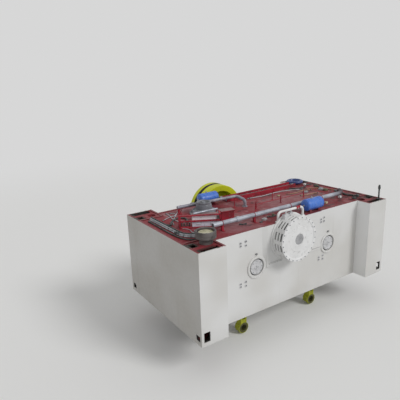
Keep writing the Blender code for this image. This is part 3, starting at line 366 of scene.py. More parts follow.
def makeLime(name, dark, track=None, eyes=None):
    finish = Finish(name)
    tone = finish.between(finish.noise(1.8, 3), 0.35, 0.68)
    grease = finish.between(finish.noise(5.5, 5), 0.56, 0.74) * dark
    colour = finish.mix(tone, (0.50, 0.54, 0.004), (0.64, 0.68, 0.012))
    colour = finish.mix(grease, colour, (0.10, 0.09, 0.03))
    x, y, z = finish.axes()
    if track:
        out = ((x - axle[0]) * (x - axle[0]) + (z - axle[1]) * (z - axle[1])) ** 0.5
        colour = finish.mix((y > track[0]) * (y < track[1]) * (out > 0.75), colour, (0.03, 0.028, 0.022))
    if eyes:
        across = abs(x) - eyes['x']
        out = (across * across + (z - eyes['z']) * (z - eyes['z'])) ** 0.5
        # darker towards the oil colour: all over the rods as painted shade, and more on the eyes as oil and
        # painted shade
        eyeOilAndShade = finish.between(out, eyes['clean'] - eyes['soft'], eyes['clean'], 1.0, 0.0) * eyes['share']
        colour = finish.mix(eyes['film'], colour, eyes['oil'])
        colour = finish.mix(eyeOilAndShade, colour, eyes['oil'])
    finish.set(Base_Color=colour)
    finish.set(Roughness=finish.between(grease, 0.0, 0.5, 0.46, 0.25))
    finish.bump(finish.noise(30, 4), 0.002, 0.4)
    return finish.material


def makeSteel():
    finish = Finish('machinedSteel')
    film = finish.between(finish.noise(4.0, 5), 0.42, 0.68)
    rust = finish.between(finish.noise(9, 6), 0.64, 0.76) * 0.6
    colour = finish.mix(rust, finish.mix(film, (0.46, 0.46, 0.45), (0.20, 0.19, 0.18)), (0.17, 0.07, 0.035))
    finish.set(Base_Color=colour, Metallic=1.0 - rust)
    finish.set(Roughness=finish.between(film, 0.0, 1.0, 0.28, 0.55))
    finish.bump(finish.noise(120, 2), 0.0006, 0.4)
    return finish.material


def makeGrey(name, light, dark, rough=(0.38, 0.62), metal=0.0, spilt=None):
    finish = Finish(name)
    tone = finish.between(finish.noise(3.6, 4), 0.36, 0.68)
    grime = finish.between(finish.noise(11, 5), 0.55, 0.76) * 0.55
    rust = finish.between(finish.noise(21, 4), 0.66, 0.76) * 0.5
    colour = finish.mix(grime, finish.mix(tone, light, dark), tuple(c * 0.35 for c in dark))
    colour = finish.mix(rust, colour, (0.20, 0.09, 0.05))
    roughness = finish.between(finish.noise(15, 3), 0.3, 0.7, *rough)
    if spilt:
        start, end, most = spilt
        film = finish.between(finish.axes()[0], start, end, 0.0, most)
        colour = finish.mix(film, colour, (0.05, 0.022, 0.025))
        roughness = roughness + film * 0.4
    finish.set(Base_Color=colour, Metallic=metal, Roughness=roughness)
    finish.bump(finish.noise(48, 3), 0.0015, 0.4)
    return finish.material


def makeHose(name, colour, worn):
    finish = Finish(name)
    tone = finish.between(finish.noise(7.0, 4), 0.40, 0.66)
    dust = finish.between(finish.noise(22, 5), 0.50, 0.74) * 0.5
    used = finish.mix(tone, colour, worn)
    finish.set(Base_Color=finish.mix(dust, used, (0.26, 0.23, 0.21)), Roughness=0.68)
    finish.bump(finish.noise(160, 2), 0.001, 0.5)
    return finish.material


def makeBeige():
    finish = Finish('beigeCover')
    tone = finish.between(finish.noise(6.5, 5), 0.38, 0.66)
    stain = finish.between(finish.noise(14, 5), 0.54, 0.72) * 0.7
    colour = finish.mix(tone, (0.58, 0.55, 0.40), (0.40, 0.38, 0.24))
    finish.set(Base_Color=finish.mix(stain, colour, (0.12, 0.10, 0.06)), Roughness=0.62)
    finish.bump(finish.noise(35, 4), 0.003, 0.5)
    return finish.material


finishes = {
    'white': (makeWhite(), 'white_paint'),
    'red': (makeRed(), 'red_oxide'),
    'brightRed': (makeBrightRed(), 'red_oxide'),
    'blue': (makeBlue(), 'blue_paint'),
    'navy': (makeGrey('navyPaint', (0.045, 0.085, 0.27), (0.03, 0.05, 0.16), (0.3, 0.5)), 'blue_paint'),
    # the rods get more grease than the flywheel, partly painted shade
    'lime': (makeLime('limePaint', 0.8, eyes=rodEyesOilAndShade), 'lime_paint'),
    'wheelLime': (makeLime('wheelLime', 0.3, beltTrack), 'lime_paint'),
    'steel': (makeSteel(), 'machined_steel'),
    'grey': (makeGrey('greyPaint', (0.36, 0.38, 0.40), (0.24, 0.26, 0.27)), 'grey_paint'),
    'paleGrey': (makeGrey('paleGreyPaint', (0.60, 0.61, 0.62), (0.46, 0.47, 0.48)), 'grey_paint'),
    'darkGrey': (makeGrey('darkGreyPaint', (0.11, 0.115, 0.12), (0.055, 0.06, 0.06)), 'grey_paint'),
    'olive': (makeGrey('oliveFitting', (0.16, 0.17, 0.09), (0.08, 0.09, 0.05)), 'grey_paint'),
    'pipe': (makeGrey('galvanisedPipe', (0.46, 0.49, 0.55), (0.32, 0.34, 0.39), (0.28, 0.48), 0.15,
                      (2.0, 2.6, 0.9)), 'grey_pipe'),
    'dullPipe': (makeGrey('dullPipe', (0.33, 0.33, 0.38), (0.22, 0.21, 0.245), (0.34, 0.55), 0.1),
                 'grey_pipe'),
    'cabinetWhite': (makeGrey('cabinetWhite', (0.88, 0.83, 0.87), (0.83, 0.77, 0.81)), 'grey_paint'),
    'lilac': (makeGrey('lilacGrey', (0.72, 0.74, 0.84), (0.62, 0.63, 0.72)), 'grey_paint'),
    'hose': (makeHose('darkHose', (0.035, 0.045, 0.045), (0.09, 0.10, 0.10)), 'dark_hose'),
    'cable': (makeHose('paleCable', (0.50, 0.52, 0.55), (0.32, 0.34, 0.36)), 'dark_hose'),
    'tan': (makeHose('tanCable', (0.46, 0.29, 0.17), (0.36, 0.22, 0.13)), 'dark_hose'),
    'beige': (makeBeige(), 'beige_cover'),
    'cleanWhite': (makeGrey('cleanWhite', (0.82, 0.82, 0.82), (0.76, 0.76, 0.755)), 'white_paint'),
    'iron': (makeGrey('castIron', (0.25, 0.26, 0.29), (0.13, 0.135, 0.155)), 'grey_paint'),
    'nutIron': (makeGrey('nutIron', (0.15, 0.135, 0.13), (0.065, 0.055, 0.052)), 'grey_paint'),
    'plateWhite': (makeGrey('plateWhite', (0.66, 0.66, 0.67), (0.54, 0.54, 0.55)), 'grey_paint'),
    'hubGrey': (makeGrey('hubGrey', (0.44, 0.44, 0.45), (0.36, 0.36, 0.37)), 'grey_paint'),
    'dusty': (makeGrey('dustyTop', (0.30, 0.20, 0.20), (0.20, 0.11, 0.11)), 'red_oxide'),
}
slotFinish = {'white_paint': 'white', 'red_oxide': 'red', 'blue_paint': 'blue', 'lime_paint': 'lime',
              'machined_steel': 'steel', 'grey_paint': 'grey', 'grey_pipe': 'pipe', 'dark_hose': 'hose',
              'beige_cover': 'beige'}
print('finishes')

# Shapes
alongAxis = {'X': Vector((1, 0, 0)), 'Y': Vector((0, 1, 0)), 'Z': Vector((0, 0, 1))}
outwardAxis = {'X': Vector((0, 1, 0)), 'Y': Vector((1, 0, 0)), 'Z': Vector((1, 0, 0))}


def placed(node, axis='Z'):
    # a node's box, and its centre with 0 along the axis
    low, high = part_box(node)
    centre = (low + high) / 2
    centre['XYZ'.index(axis)] = 0
    return low, high, centre


def around(count, radius, centre=(0, 0, 0), axis='Y', start=0.0):
    # places on a circle about an axis
    outward = outwardAxis[axis]
    side = alongAxis[axis].cross(outward)
    angles = [start + math.tau * index / count for index in range(count)]
    return [Vector(centre) + (outward * math.cos(angle) + side * math.sin(angle)) * radius
            for angle in angles]


def skinned(shape, rings, closed=False, capped=False):
    # faces from each ring of vertices to the next
    pairs = list(zip(rings, rings[1:]))
    if closed:
        pairs.append((rings[-1], rings[0]))
    for first, second in pairs:
        for index in range(len(first)):
            after = (index + 1) % len(first)
            corners = list(dict.fromkeys([first[index], first[after], second[after], second[index]]))
            if len(corners) > 2:
                shape.faces.new(corners)
    if capped:
        shape.faces.new(rings[0])
        shape.faces.new(rings[-1])
    bmesh.ops.recalc_face_normals(shape, faces=shape.faces)
    return shape


def spun(profile, axis='Y', steps=72, centre=(0, 0, 0)):
    # profile of (radius, place along the axis), from axis to axis or as a closed ring
    shape = bmesh.new()
    rings = []
    for radius, place in profile:
        middle = Vector(centre) + alongAxis[axis] * place
        if radius > 0:
            rings.append([shape.verts.new(spot) for spot in around(steps, radius, middle, axis)])
        else:
            rings.append([shape.verts.new(middle)] * steps)
    return skinned(shape, rings, closed=profile[0][0] > 0)


def band(inner, outer, low, high, axis='Z', steps=72, centre=(0, 0, 0)):
    # plain ring, or a disc where the inner radius is 0
    return spun([(inner, low), (outer, low), (outer, high), (inner, high)], axis, steps, centre)


def block(low, high, place=(0, 0, 0), turn=0.0):
    shape = bmesh.new()
    low, high = Vector(low), Vector(high)
    bmesh.ops.create_cube(shape, size=1.0)
    bmesh.ops.scale(shape, vec=high - low, verts=shape.verts)
    bmesh.ops.translate(shape, vec=(low + high) / 2, verts=shape.verts)
    bmesh.ops.rotate(shape, cent=(0, 0, 0), matrix=Matrix.Rotation(turn, 3, 'Z'), verts=shape.verts)
    bmesh.ops.translate(shape, vec=place, verts=shape.verts)
    return shape


def tube(points, radius, sides=16):
    points = [Vector(point) for point in points]
    steps = [(b - a).normalized() for a, b in zip(points, points[1:])]
    across = steps[0].orthogonal().normalized()
    shape = bmesh.new()
    rings = []
    for point, before, after in zip(points, steps[:1] + steps, steps + steps[-1:]):
        tangent = (before + after).normalized()
        across = (across - tangent * across.dot(tangent)).normalized()
        level = tangent.cross(across)
        angles = [math.tau * side / sides for side in range(sides)]
        rings.append([shape.verts.new(point + (across * math.cos(angle) + level * math.sin(angle)) * radius)
                      for angle in angles])
    return skinned(shape, rings, capped=True)


def hoop(centre, outward, radius, wire, steps):
    # upright ring of wire
    angles = [math.tau * step / steps for step in range(steps + 1)]
    return tube([centre + (outward * math.cos(angle) + alongAxis['Z'] * math.sin(angle)) * radius
                 for angle in angles], wire, 8)


def bent(corners, radius, steps=8):
    # route with each corner rounded
    corners = [Vector(corner) for corner in corners]
    route = [corners[0]]
    for before, corner, after in zip(corners, corners[1:], corners[2:]):
        start, end = [corner + (far - corner).normalized() * min(radius, (far - corner).length * 0.45)
                      for far in (before, after)]
        for step in range(steps + 1):
            share = step / steps
            route.append(start.lerp(corner, share).lerp(corner.lerp(end, share), share))
    return route + [corners[-1]]


def flowing(points, steps=6):
    # smooth curve through the points
    points = [Vector(point) for point in points]
    padded = [2 * points[0] - points[1]] + points + [2 * points[-1] - points[-2]]
    route = []
    for a, b, c, d in zip(padded, padded[1:], padded[2:], padded[3:]):
        for step in range(steps):
            t = step / steps
            route.append(0.5 * (2 * b + (c - a) * t + (2 * a - 5 * b + 4 * c - d) * t * t
                                + (3 * b - a - 3 * c + d) * t ** 3))
    return route + [points[-1]]


def joined(shapes):
    whole = bmesh.new()
    for shape in shapes:
        mesh = bpy.data.meshes.new('shape')
        shape.to_mesh(mesh)
        shape.free()
        whole.from_mesh(mesh)
        bpy.data.meshes.remove(mesh)
    return whole


def bolt(centre, axis, size, height, turn=0.0):
    # hexagon head on a washer; size is the head's radius and the sign of height is the way it points
    shape = bmesh.new()

    def rings(sides, sections, start=0.0):
        made = []
        for radius, place in sections:
            middle = centre + alongAxis[axis] * place
            made.append([shape.verts.new(spot) for spot in around(sides, radius, middle, axis, start)])
        return made

    washer, seat = size * 1.30, height * 0.18
    skinned(shape, rings(18, ((washer, 0.0), (washer, seat))), capped=True)
    sections = ((size, seat), (size, height * 0.88), (size * 0.84, height))
    return skinned(shape, rings(6, sections, turn), capped=True)


def boltCircle(count, radius, centre, place, size, height, axis='Y', start=0.0):
    # bolts on a circle, at a place along the axis, each turned by chance
    spin = random.Random(count)
    spots = around(count, radius, Vector(centre) + alongAxis[axis] * place, axis, start)
    return [bolt(spot, axis, size, height, spin.uniform(0, math.tau / 6)) for spot in spots]


def soften(made, width, angle, segments=1):
    rounding = made.modifiers.new('rounded', 'BEVEL')
    rounding.width = width
    rounding.segments = segments
    rounding.limit_method = 'ANGLE'
    rounding.angle_limit = math.radians(angle)


def piece(name, shape, finish, body='crown', stands=(), bevel=0.0, angle=30):
    mesh = bpy.data.meshes.new(name)
    shape.to_mesh(mesh)
    shape.free()
    mesh.shade_smooth()
    mesh.set_sharp_from_angle(angle=math.radians(angle))
    made = bpy.data.objects.new(name, mesh)
    bpy.context.scene.collection.objects.link(made)
    material, slot = finishes[finish]
    mesh.materials.append(material)
    if bevel:
        soften(made, bevel, angle, 2)
    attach(made, body)
    if stands:
        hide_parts(*stands)
    return made


def pieceOfEach(suffix, shapes, bevel=0.0):
    # one piece of each finish, from lists of shapes
    for finish, group in shapes.items():
        piece(f'{finish}{suffix}', joined(group), finish, bevel=bevel)


# Every node that stays gets the finish of its slot
for entry in frame['record']['subparts']:
    node = frame['nodes'][entry['node']]
    node.data.materials.clear()
    node.data.materials.append(finishes[slotFinish[entry['material_slot']]][0])
print('node finishes')

# Round drum with its vents, cover and hub
coverLow, coverHigh, drumCentre = placed('drum_cover', 'Y')
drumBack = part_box('drum_housing')[1].y
drum = {
    'radius': 0.62,
    'shell': 0.04,
    'foot': 0.65,
    'footDepth': 0.035,
    'ventRows': ((0.075, 0.055), (0.175, 0.04), (0.275, 0.04)),   # place behind the face, width
    'ventArc': 20,                     # degrees, as the next two
    'ventPitch': 30,
    'stepAngle': 2.5,
    'inside': 0.10,
    'rim': 0.07,
    'step': 0.012,
    'hub': 0.15,
    'hubRing': 0.04,
    'bolts': 24,
    'boltSize': 0.013,
    'boltRadius': 0.592,
    'shadeLiner': 0.53,                     # radius of the dark sheet of painted shade inside the drum, clear of the brake disc inside it
}


def makeDrum():
    face, coverBack = coverLow.y, coverHigh.y
    radius, inside, floor = drum['radius'], drum['inside'], drumBack - drum['footDepth']
    places = [coverBack + gap]
    for middle, width in drum['ventRows']:
        places += [face + middle - width / 2, face + middle + width / 2]
    places.append(floor)
    shape = bmesh.new()
    count, pitch = int(360 / drum['stepAngle']), drum['ventPitch']
    grid = [[shape.verts.new(spot) for spot in around(count, radius, (0, place, 0))] for place in places]
    for row, (near, far) in enumerate(zip(grid, grid[1:])):
        for index in range(count):
            middle = (index + 0.5) * drum['stepAngle'] % pitch - pitch / 2
            after = (index + 1) % count
            if row % 2 == 0 or abs(middle) >= drum['ventArc'] / 2:
                shape.faces.new((near[index], near[after], far[after], far[index]))
    bmesh.ops.recalc_face_normals(shape, faces=shape.faces)
    if sum(side.normal.dot(side.calc_center_median()) for side in shape.faces) < 0:
        bmesh.ops.reverse_faces(shape, faces=shape.faces)
    bmesh.ops.translate(shape, vec=drumCentre, verts=shape.verts)
    shell = piece('drumShell', shape, 'white', stands=['drum_housing'])
    wall = shell.modifiers.new('wall', 'SOLIDIFY')
    wall.thickness = drum['shell']
    wall.offset = -1
    soften(shell, 0.004, 50)
    foot = spun([(inside, drumBack), (drum['foot'], drumBack), (drum['foot'], floor),
                 (radius + 0.004, floor - 0.012), (radius - 0.03, floor - 0.001), (inside, floor - 0.001)],
                steps=96, centre=drumCentre)
    studs = boltCircle(24, drum['foot'] - 0.016, drumCentre, floor, 0.010, -0.014)
    piece('drumFoot', joined([foot] + studs), 'white', bevel=0.003)
    # dark sheet inside the drum: painted shade seen through the vent slots
    shadeLiner = drum['shadeLiner']
    ventShadeSheet = band(shadeLiner - 0.01, shadeLiner, floor - 0.004, coverBack + 0.004, 'Y', 72, drumCentre)
    piece('drumVentShade', ventShadeSheet, 'hose')

    rim, pad, step = radius - drum['rim'], drum['hub'] + drum['hubRing'], drum['step']
    cover = spun([(drum['hub'], coverBack), (radius, coverBack), (radius, face), (rim, face),
                  (rim - step, face + step), (pad + 0.16, face + step), (pad + 0.15, face + step * 0.55),
                  (pad + 0.02, face + step * 0.55), (pad, face), (drum['hub'], face)], steps=96,
                  centre=drumCentre)
    piece('drumFace', cover, 'cleanWhite', stands=['drum_cover'], bevel=0.004, angle=20)
    bolts = boltCircle(drum['bolts'], drum['boltRadius'], drumCentre, face, drum['boltSize'], -0.014,
                       start=math.tau / 48)
    piece('drumBolts', joined(bolts), 'grey')
    small = boltCircle(12, 0.37, drumCentre, face + step, 0.011, -0.010)
    small += boltCircle(8, 0.171, drumCentre, face, 0.009, -0.010)
    piece('drumInnerBolts', joined(small), 'cleanWhite')
    capFace = face + step
    cap = spun([(0, capFace + 0.03), (0.045, capFace + 0.03), (0.05, capFace + 0.004), (0.085, capFace),
                (0.09, capFace - 0.006), (0.142, capFace - 0.006), (0.1492, capFace),
                (0.1492, coverBack - step), (0, coverBack - step)], steps=64, centre=drumCentre)
    piece('hubDisc', cap, 'hubGrey', stands=['hub_cap'], bevel=0.002)
    piece('hubBolts', joined(boltCircle(6, 0.115, drumCentre, capFace - 0.006, 0.010, -0.010)), 'hubGrey')


makeDrum()
print('drum')

# Wall bearings and the end plates that turn in them
port = {'hole': 0.132, 'barrel': 0.27, 'flange': 0.31, 'seat': 0.238, 'plate': 0.204, 'flangeDepth': 0.03,
        'recess': 0.045, 'bolts': 12, 'boltRadius': 0.278, 'eye': (-0.02, 0.37)}


def makePort(sideName, endName):
    name, body = f'{endName}_{sideName}', f'{sideName}_main'
    low, high, centre = placed(f'{name}_wall_bearing', 'Y')
    end = -1 if endName == 'front' else 1
    inner, outer = (low.y, high.y)[::end]
    wall = outer - end * port['flangeDepth']
    floor = wall - end * port['recess']
    flange, seat = port['flange'], port['seat']
    profile = [(port['hole'], inner), (port['barrel'], inner), (port['barrel'], wall), (flange, wall),
               (flange, outer - end * 0.008), (flange - 0.008, outer), (seat + 0.012, outer),
               (seat, outer - end * 0.010), (seat, floor), (port['hole'], floor)]
    piece(f'{name}Port', spun(profile, centre=centre), 'white', stands=[f'{name}_wall_bearing'])
    # dark ring on the floor of the recess round the end plate: painted shade in the gap
    gapShade = band(0.14, seat - 0.001, floor + end * 0.002, floor + end * 0.012, 'Y', 72, centre)
    piece(f'{name}PortGapShade', gapShade, 'darkGrey')
    bolts = boltCircle(port['bolts'], port['boltRadius'], centre, outer, 0.011, end * 0.010,
                       start=math.tau / 24)
    piece(f'{name}PortBolts', joined(bolts), 'cleanWhite')
    node = f'{sideName}_{endName}_end_plate'
    low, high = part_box(node)
    back, front = (low.y, high.y)[::end]
    plate = spun([(0, back), (port['plate'], back), (port['plate'], front - end * 0.006),
                  (port['plate'] - 0.006, front), (0.15, front), (0.142, front - end * 0.008),
                  (0.075, front - end * 0.008), (0.07, front), (0.02, front), (0.016, front - end * 0.02),
                  (0, front - end * 0.02)], centre=centre)
    piece(f'{name}Plate', plate, 'plateWhite', body, stands=[node])
    bolts = boltCircle(8, 0.172, centre, front, 0.011, end * 0.010)
    bolts += boltCircle(3, 0.045, centre, front, 0.009, end * 0.009)
    piece(f'{name}PlateBolts', joined(bolts), 'grey', body)
    foot = centre + Vector((port['eye'][0], wall, port['eye'][1]))
    ring = hoop(foot + Vector((0, end * 0.032, 0)), alongAxis['X'], 0.022, 0.007, 20)
    piece(f'{name}LiftingEye', joined([bolt(foot, 'Y', 0.014, end * 0.02), ring]), 'darkGrey')


for sideName in ('left', 'right'):
    for endName in ('front', 'rear'):
        makePort(sideName, endName)
print('ports')

# Flywheel behind the rear wall
wheel = {'radius': 0.82, 'width': 0.59, 'rim': 0.19, 'hub': 0.20, 'bevel': 0.015, 'track': 0.13,
         'trackDepth': 0.045, 'trackStart': 0.29, 'ribs': 6, 'web': 0.12, 'hole': 0.0906}


def makeFlywheel():
    low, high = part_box('flywheel')
    front, rear = high.y - wheel['width'], high.y
    edge, rim, bevel = wheel['radius'], wheel['radius'] - wheel['rim'], wheel['bevel']
    webFront = front + (wheel['width'] - wheel['web']) / 2
    webRear = webFront + wheel['web']
    trackFront = front + wheel['trackStart']
    track, pitch = edge - wheel['trackDepth'], wheel['track'] / wheel['ribs']
    profile = [(wheel['hole'], low.y), (wheel['hub'], low.y), (wheel['hub'], webFront),
               (rim, webFront + 0.02), (rim, front + 0.01), (rim + 0.01, front), (edge - bevel, front),
               (edge, front + bevel), (edge, trackFront)]
    for rib in range(wheel['ribs']):
        start = trackFront + pitch * rib
        profile += [(track, start + pitch * 0.25), (track, start + pitch * 0.55),
                    (track + 0.016, start + pitch * 0.8)]
    profile += [(edge, trackFront + wheel['track']), (edge, rear - bevel), (edge - bevel, rear),
                (rim + 0.01, rear), (rim, rear - 0.01), (rim, webRear - 0.02), (wheel['hub'], webRear),
                (wheel['hub'], rear), (wheel['hole'], rear)]
    casting = spun(profile, steps=128, centre=drumCentre)
    piece('flywheelCasting', casting, 'wheelLime', 'drive', stands=['flywheel'])
    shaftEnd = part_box('drive_shaft')[1].y
    collar = spun([(0, shaftEnd - 0.001), (0.16, shaftEnd - 0.001), (0.16, shaftEnd + 0.02),
                   (0.15, shaftEnd + 0.025), (0, shaftEnd + 0.025)], steps=48, centre=drumCentre)
    bolts = boltCircle(8, 0.12, drumCentre, shaftEnd + 0.025, 0.014, 0.016)
    piece('flywheelCap', joined([collar] + bolts), 'grey', 'drive', bevel=0.002)


makeFlywheel()
print('flywheel')

# Nut on the front left tie rod way, with its dished cover
nut = {'neck': 0.17, 'ring': 0.257, 'dish': 0.212, 'hole': 0.12, 'neckHeight': 0.14, 'holes': 12, 'bolts': 6}


def makeNut():
    low, high, centre = placed('tie_rod_nut')
    lidLow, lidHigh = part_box('nut_cover')
    shoulder, floor = low.z + nut['neckHeight'], lidLow.z - 0.0003
    ring, dish = nut['ring'], nut['dish']
    body = spun([(nut['hole'], low.z), (nut['neck'], low.z), (nut['neck'], shoulder),
                 (ring - 0.012, shoulder), (ring, shoulder + 0.012), (ring, shoulder + 0.055),
                 (ring - 0.006, shoulder + 0.06), (ring - 0.006, shoulder + 0.072),
                 (ring, shoulder + 0.078), (ring, high.z - 0.012), (ring - 0.012, high.z),
                 (dish + 0.01, high.z), (dish, high.z - 0.01), (dish, floor), (nut['hole'], floor)], 'Z',
                 72, centre)
    rimTop = centre + Vector((0, 0, high.z - 0.001))
    # dark discs on the ring's top: painted shade standing for the spanner holes
    holes = [band(0, 0.016, 0.0, 0.004, 'Z', 12, spot)
             for spot in around(nut['holes'], (ring + dish) / 2, rimTop, 'Z')]
    piece('nutRing', body, 'nutIron', stands=['tie_rod_nut'])
    piece('nutSpannerHoleShade', joined(holes), 'darkGrey')
    radius, top = (lidHigh.x - lidLow.x) / 2, lidHigh.z
    disc = spun([(0, lidLow.z), (radius, lidLow.z), (radius, top - 0.006), (radius - 0.006, top),
                 (0.10, top - 0.004), (0.06, top), (0.03, top), (0, top - 0.006)], 'Z', 64, centre)
    bolts = boltCircle(nut['bolts'], radius - 0.03, centre, top - 0.003, 0.011, 0.012, 'Z')
    piece('nutDisc', joined([disc] + bolts), 'beige', stands=['nut_cover'])


makeNut()

# Air tanks
tank = {'radius': 0.168, 'dome': 0.06, 'saddle': 0.17}


def makeTank(node, name):
    low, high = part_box(node)
    radius, half, dome = tank['radius'], (high.x - low.x) / 2, tank['dome']
    centre = Vector(((low.x + high.x) / 2, (low.y + high.y) / 2, high.z - radius))
    arc = [math.pi / 2 * step / 10 for step in range(11)]
    left = [(radius * math.sin(a), -half + dome * (1 - math.cos(a))) for a in arc]
    shapes = [spun(left + [(r, -p) for r, p in reversed(left)], 'X', 72, centre)]
    for place in (-half + dome + 0.012, half - dome - 0.012):
        shapes.append(spun([(radius - 0.004, place - 0.008), (radius + 0.003, place - 0.004),
                            (radius + 0.003, place + 0.004), (radius - 0.004, place + 0.008)], 'X', 72,
                            centre))
    feet = []
    for place in (-tank['saddle'], tank['saddle']):
        x, y = centre.x + place, centre.y
        feet.append(block((x - 0.03, y - 0.10, low.z), (x + 0.03, y + 0.10, centre.z - 0.09)))
        feet.append(block((x - 0.05, y - 0.12, low.z), (x + 0.05, y + 0.12, low.z + 0.012)))
        shapes.append(band(radius - 0.003, radius + 0.004, place - 0.02, place + 0.02, 'X', 72, centre))
    piece(name, joined(shapes), 'blue', stands=[node])
    piece(f'{name}Feet', joined(feet), 'red')
    neck = [spun([(0, 0), (0.03, 0), (0.03, 0.02), (0.02, 0.025), (0.02, 0.05), (0, 0.05)], 'Z', 20,
                 (centre.x - 0.05, centre.y, high.z - 0.004)),
            band(0, 0.024, -half - 0.03, -half + 0.01, 'X', 20, centre)]
    piece(f'{name}Ports', joined(neck), 'grey', bevel=0.002)


makeTank('front_air_tank', 'frontTank')
makeTank('rear_air_tank', 'rearTank')
print('tanks')

# Long pipes on the deck
pipes = {
    'front': 0.06,
    'frontBend': 2.55,
    'frontEnd': -0.62,
    'frontCollars': (-1.60, 0.95),
    'bore': 0.05,
    'rest': 0.03,
    'rests': (-2.10, -1.03, 0.30, 1.60),
    'rear': 0.048,
    'rearBend': (-0.17, 0.88),
    'rearEnd': (-0.28, 0.34),
    'rearCollars': (-1.75, -0.70),
    'stand': 0.032,
}


def collars(places, half, inner, outer, steps, centre):
    return [band(inner, outer, x - half, x + half, 'X', steps, centre) for x in places]


def makeFrontPipe():
    low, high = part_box('front_pipe')
    radius = pipes['front']
    y, z = low.y + radius, high.z - radius
    endX, endY = high.x - radius, pipes['frontEnd']
    route = bent([(low.x, y, z), (pipes['frontBend'], y, z), (endX, endY, z),
                  (endX, endY, low.z + 0.012)], 0.22)
    shapes = [tube(route, radius, 28)]
    shapes += collars(pipes['frontCollars'], 0.05, radius - 0.004, radius + 0.012, 36, (0, y, z))
    shapes.append(band(0, 0.105, low.z, low.z + 0.02, 'Z', 36, (endX, endY, 0)))
    shapes += boltCircle(6, 0.085, (endX, endY, 0), low.z + 0.02, 0.012, 0.014, 'Z')
    piece('frontPipe', joined(shapes), 'pipe', stands=['front_pipe'])
    # dark disc across the open end: painted shade inside the pipe
    mouthShade = band(0, pipes['bore'], low.x - 0.002, low.x + 0.002, 'X', 28, (0, y, z))
    piece('frontPipeMouthShade', mouthShade, 'darkGrey')
    rests, half = [], pipes['rest']
    for x in pipes['rests']:
        rests.append(block((x - half, y - half, low.z), (x + half, y + half, z - radius + 0.01)))
        rests.append(block((x - half, y - 0.10, low.z), (x + half, y + 0.10, low.z + 0.012)))
        rests.append(hoop(Vector((x, y, z)), alongAxis['Y'], radius + 0.004, 0.008, 24))
    piece('frontPipeRests', joined(rests), 'brightRed', bevel=0.002)


def makeRearPipe():
    low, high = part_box('rear_pipe')
    radius = pipes['rear']
    left, back, z = low.x + radius, high.y - radius, high.z - radius
    end = pipes['rearEnd']
    route = bent([(low.x, back, z), (*pipes['rearBend'], z), (*end, z), (*end, low.z)], 0.14)
    standFoot, endFoot = [band(0, 0.08, low.z, low.z + 0.015, 'Z', 32, (*spot, 0))
                          for spot in ((left, back), end)]
    shapes = [tube(route, radius, 24), endFoot]
    shapes += collars(pipes['rearCollars'], 0.04, radius - 0.004, radius + 0.01, 32, (0, back, z))
    piece('rearPipe', joined(shapes), 'dullPipe', stands=['rear_pipe'])
    stand = tube([(left, back, low.z), (left, back, z - radius + 0.008)], pipes['stand'], 16)
    piece('rearPipeStand', joined([stand, standFoot]), 'brightRed')


makeFrontPipe()
makeRearPipe()
print('pipes')

# Stepped head beside the cabinet
head = {'foot': 0.42, 'footHeight': 0.05, 'brim': 0.345, 'flange': 0.06, 'shoulder': 0.14, 'step': 0.025,
        'ring': 0.21, 'ringHeight': 0.06, 'dish': 0.04}


def makeHead():
    low, high, centre = placed('cylinder_head')
    foot, top, wide, ring, step = low.z, high.z, (high.x - low.x) / 2, head['ring'], head['step']
    flange, shoulder, dish = foot + head['flange'], foot + head['shoulder'], top - head['dish']
    ringFoot, plate = top - head['ringHeight'], foot + head['footHeight']
    profile = [(0, foot), (wide, foot), (wide, flange - 0.008), (wide - 0.008, flange), (wide - step, flange),
               (wide - step, shoulder - 0.03), (wide - 0.045, shoulder), (wide - 0.06, shoulder + 0.004),
               (ring + 0.012, ringFoot - 0.02), (ring, ringFoot), (ring, top - 0.006), (ring - 0.006, top),
               (ring - step, top), (ring - 2 * step, dish), (0.06, dish), (0.05, top - 0.012),
               (0, top - 0.012)]
    piece('steppedHead', spun(profile, 'Z', 72, centre), 'iron', stands=['cylinder_head'])
    brim, inside, raised = head['brim'], wide - step + 0.001, flange + 0.065
    base = [spun([(wide + 0.001, foot), (head['foot'], foot), (head['foot'], plate - 0.012),
                  (head['foot'] - 0.012, plate), (wide + 0.001, plate)], 'Z', 72, centre),
            spun([(inside, flange + 0.001), (brim, flange + 0.001), (brim, flange + 0.05),
                  (brim - 0.02, raised), (inside, raised)], 'Z', 72, centre)]
    piece('steppedHeadFoot', joined(base), 'iron', bevel=0.003)
    bolts = boltCircle(16, head['foot'] - 0.035, centre, plate, 0.012, 0.014, 'Z')
    bolts += boltCircle(8, ring - 0.068, centre, dish, 0.009, 0.012, 'Z')
    piece('steppedHeadBolts', joined(bolts), 'darkGrey')
    bead = spun([(wide - 0.052, shoulder + 0.003), (wide - 0.062, shoulder + 0.012),
                 (wide - 0.070, shoulder + 0.012), (wide - 0.066, shoulder + 0.001)], 'Z', 72, centre)
    piece('steppedHeadBead', bead, 'grey')
    lining = band(0.062, ring - 2 * step - 0.001, dish + gap, dish + 0.002, 'Z', 72, centre)
    piece('steppedHeadDish', lining, 'darkGrey')


makeHead()

# Low round vessel over the rear right tie rod way
vessel = {'hole': 0.12, 'neck': 0.17, 'foot': 0.04, 'bevel': 0.03, 'rim': 0.08, 'dish': 0.06}


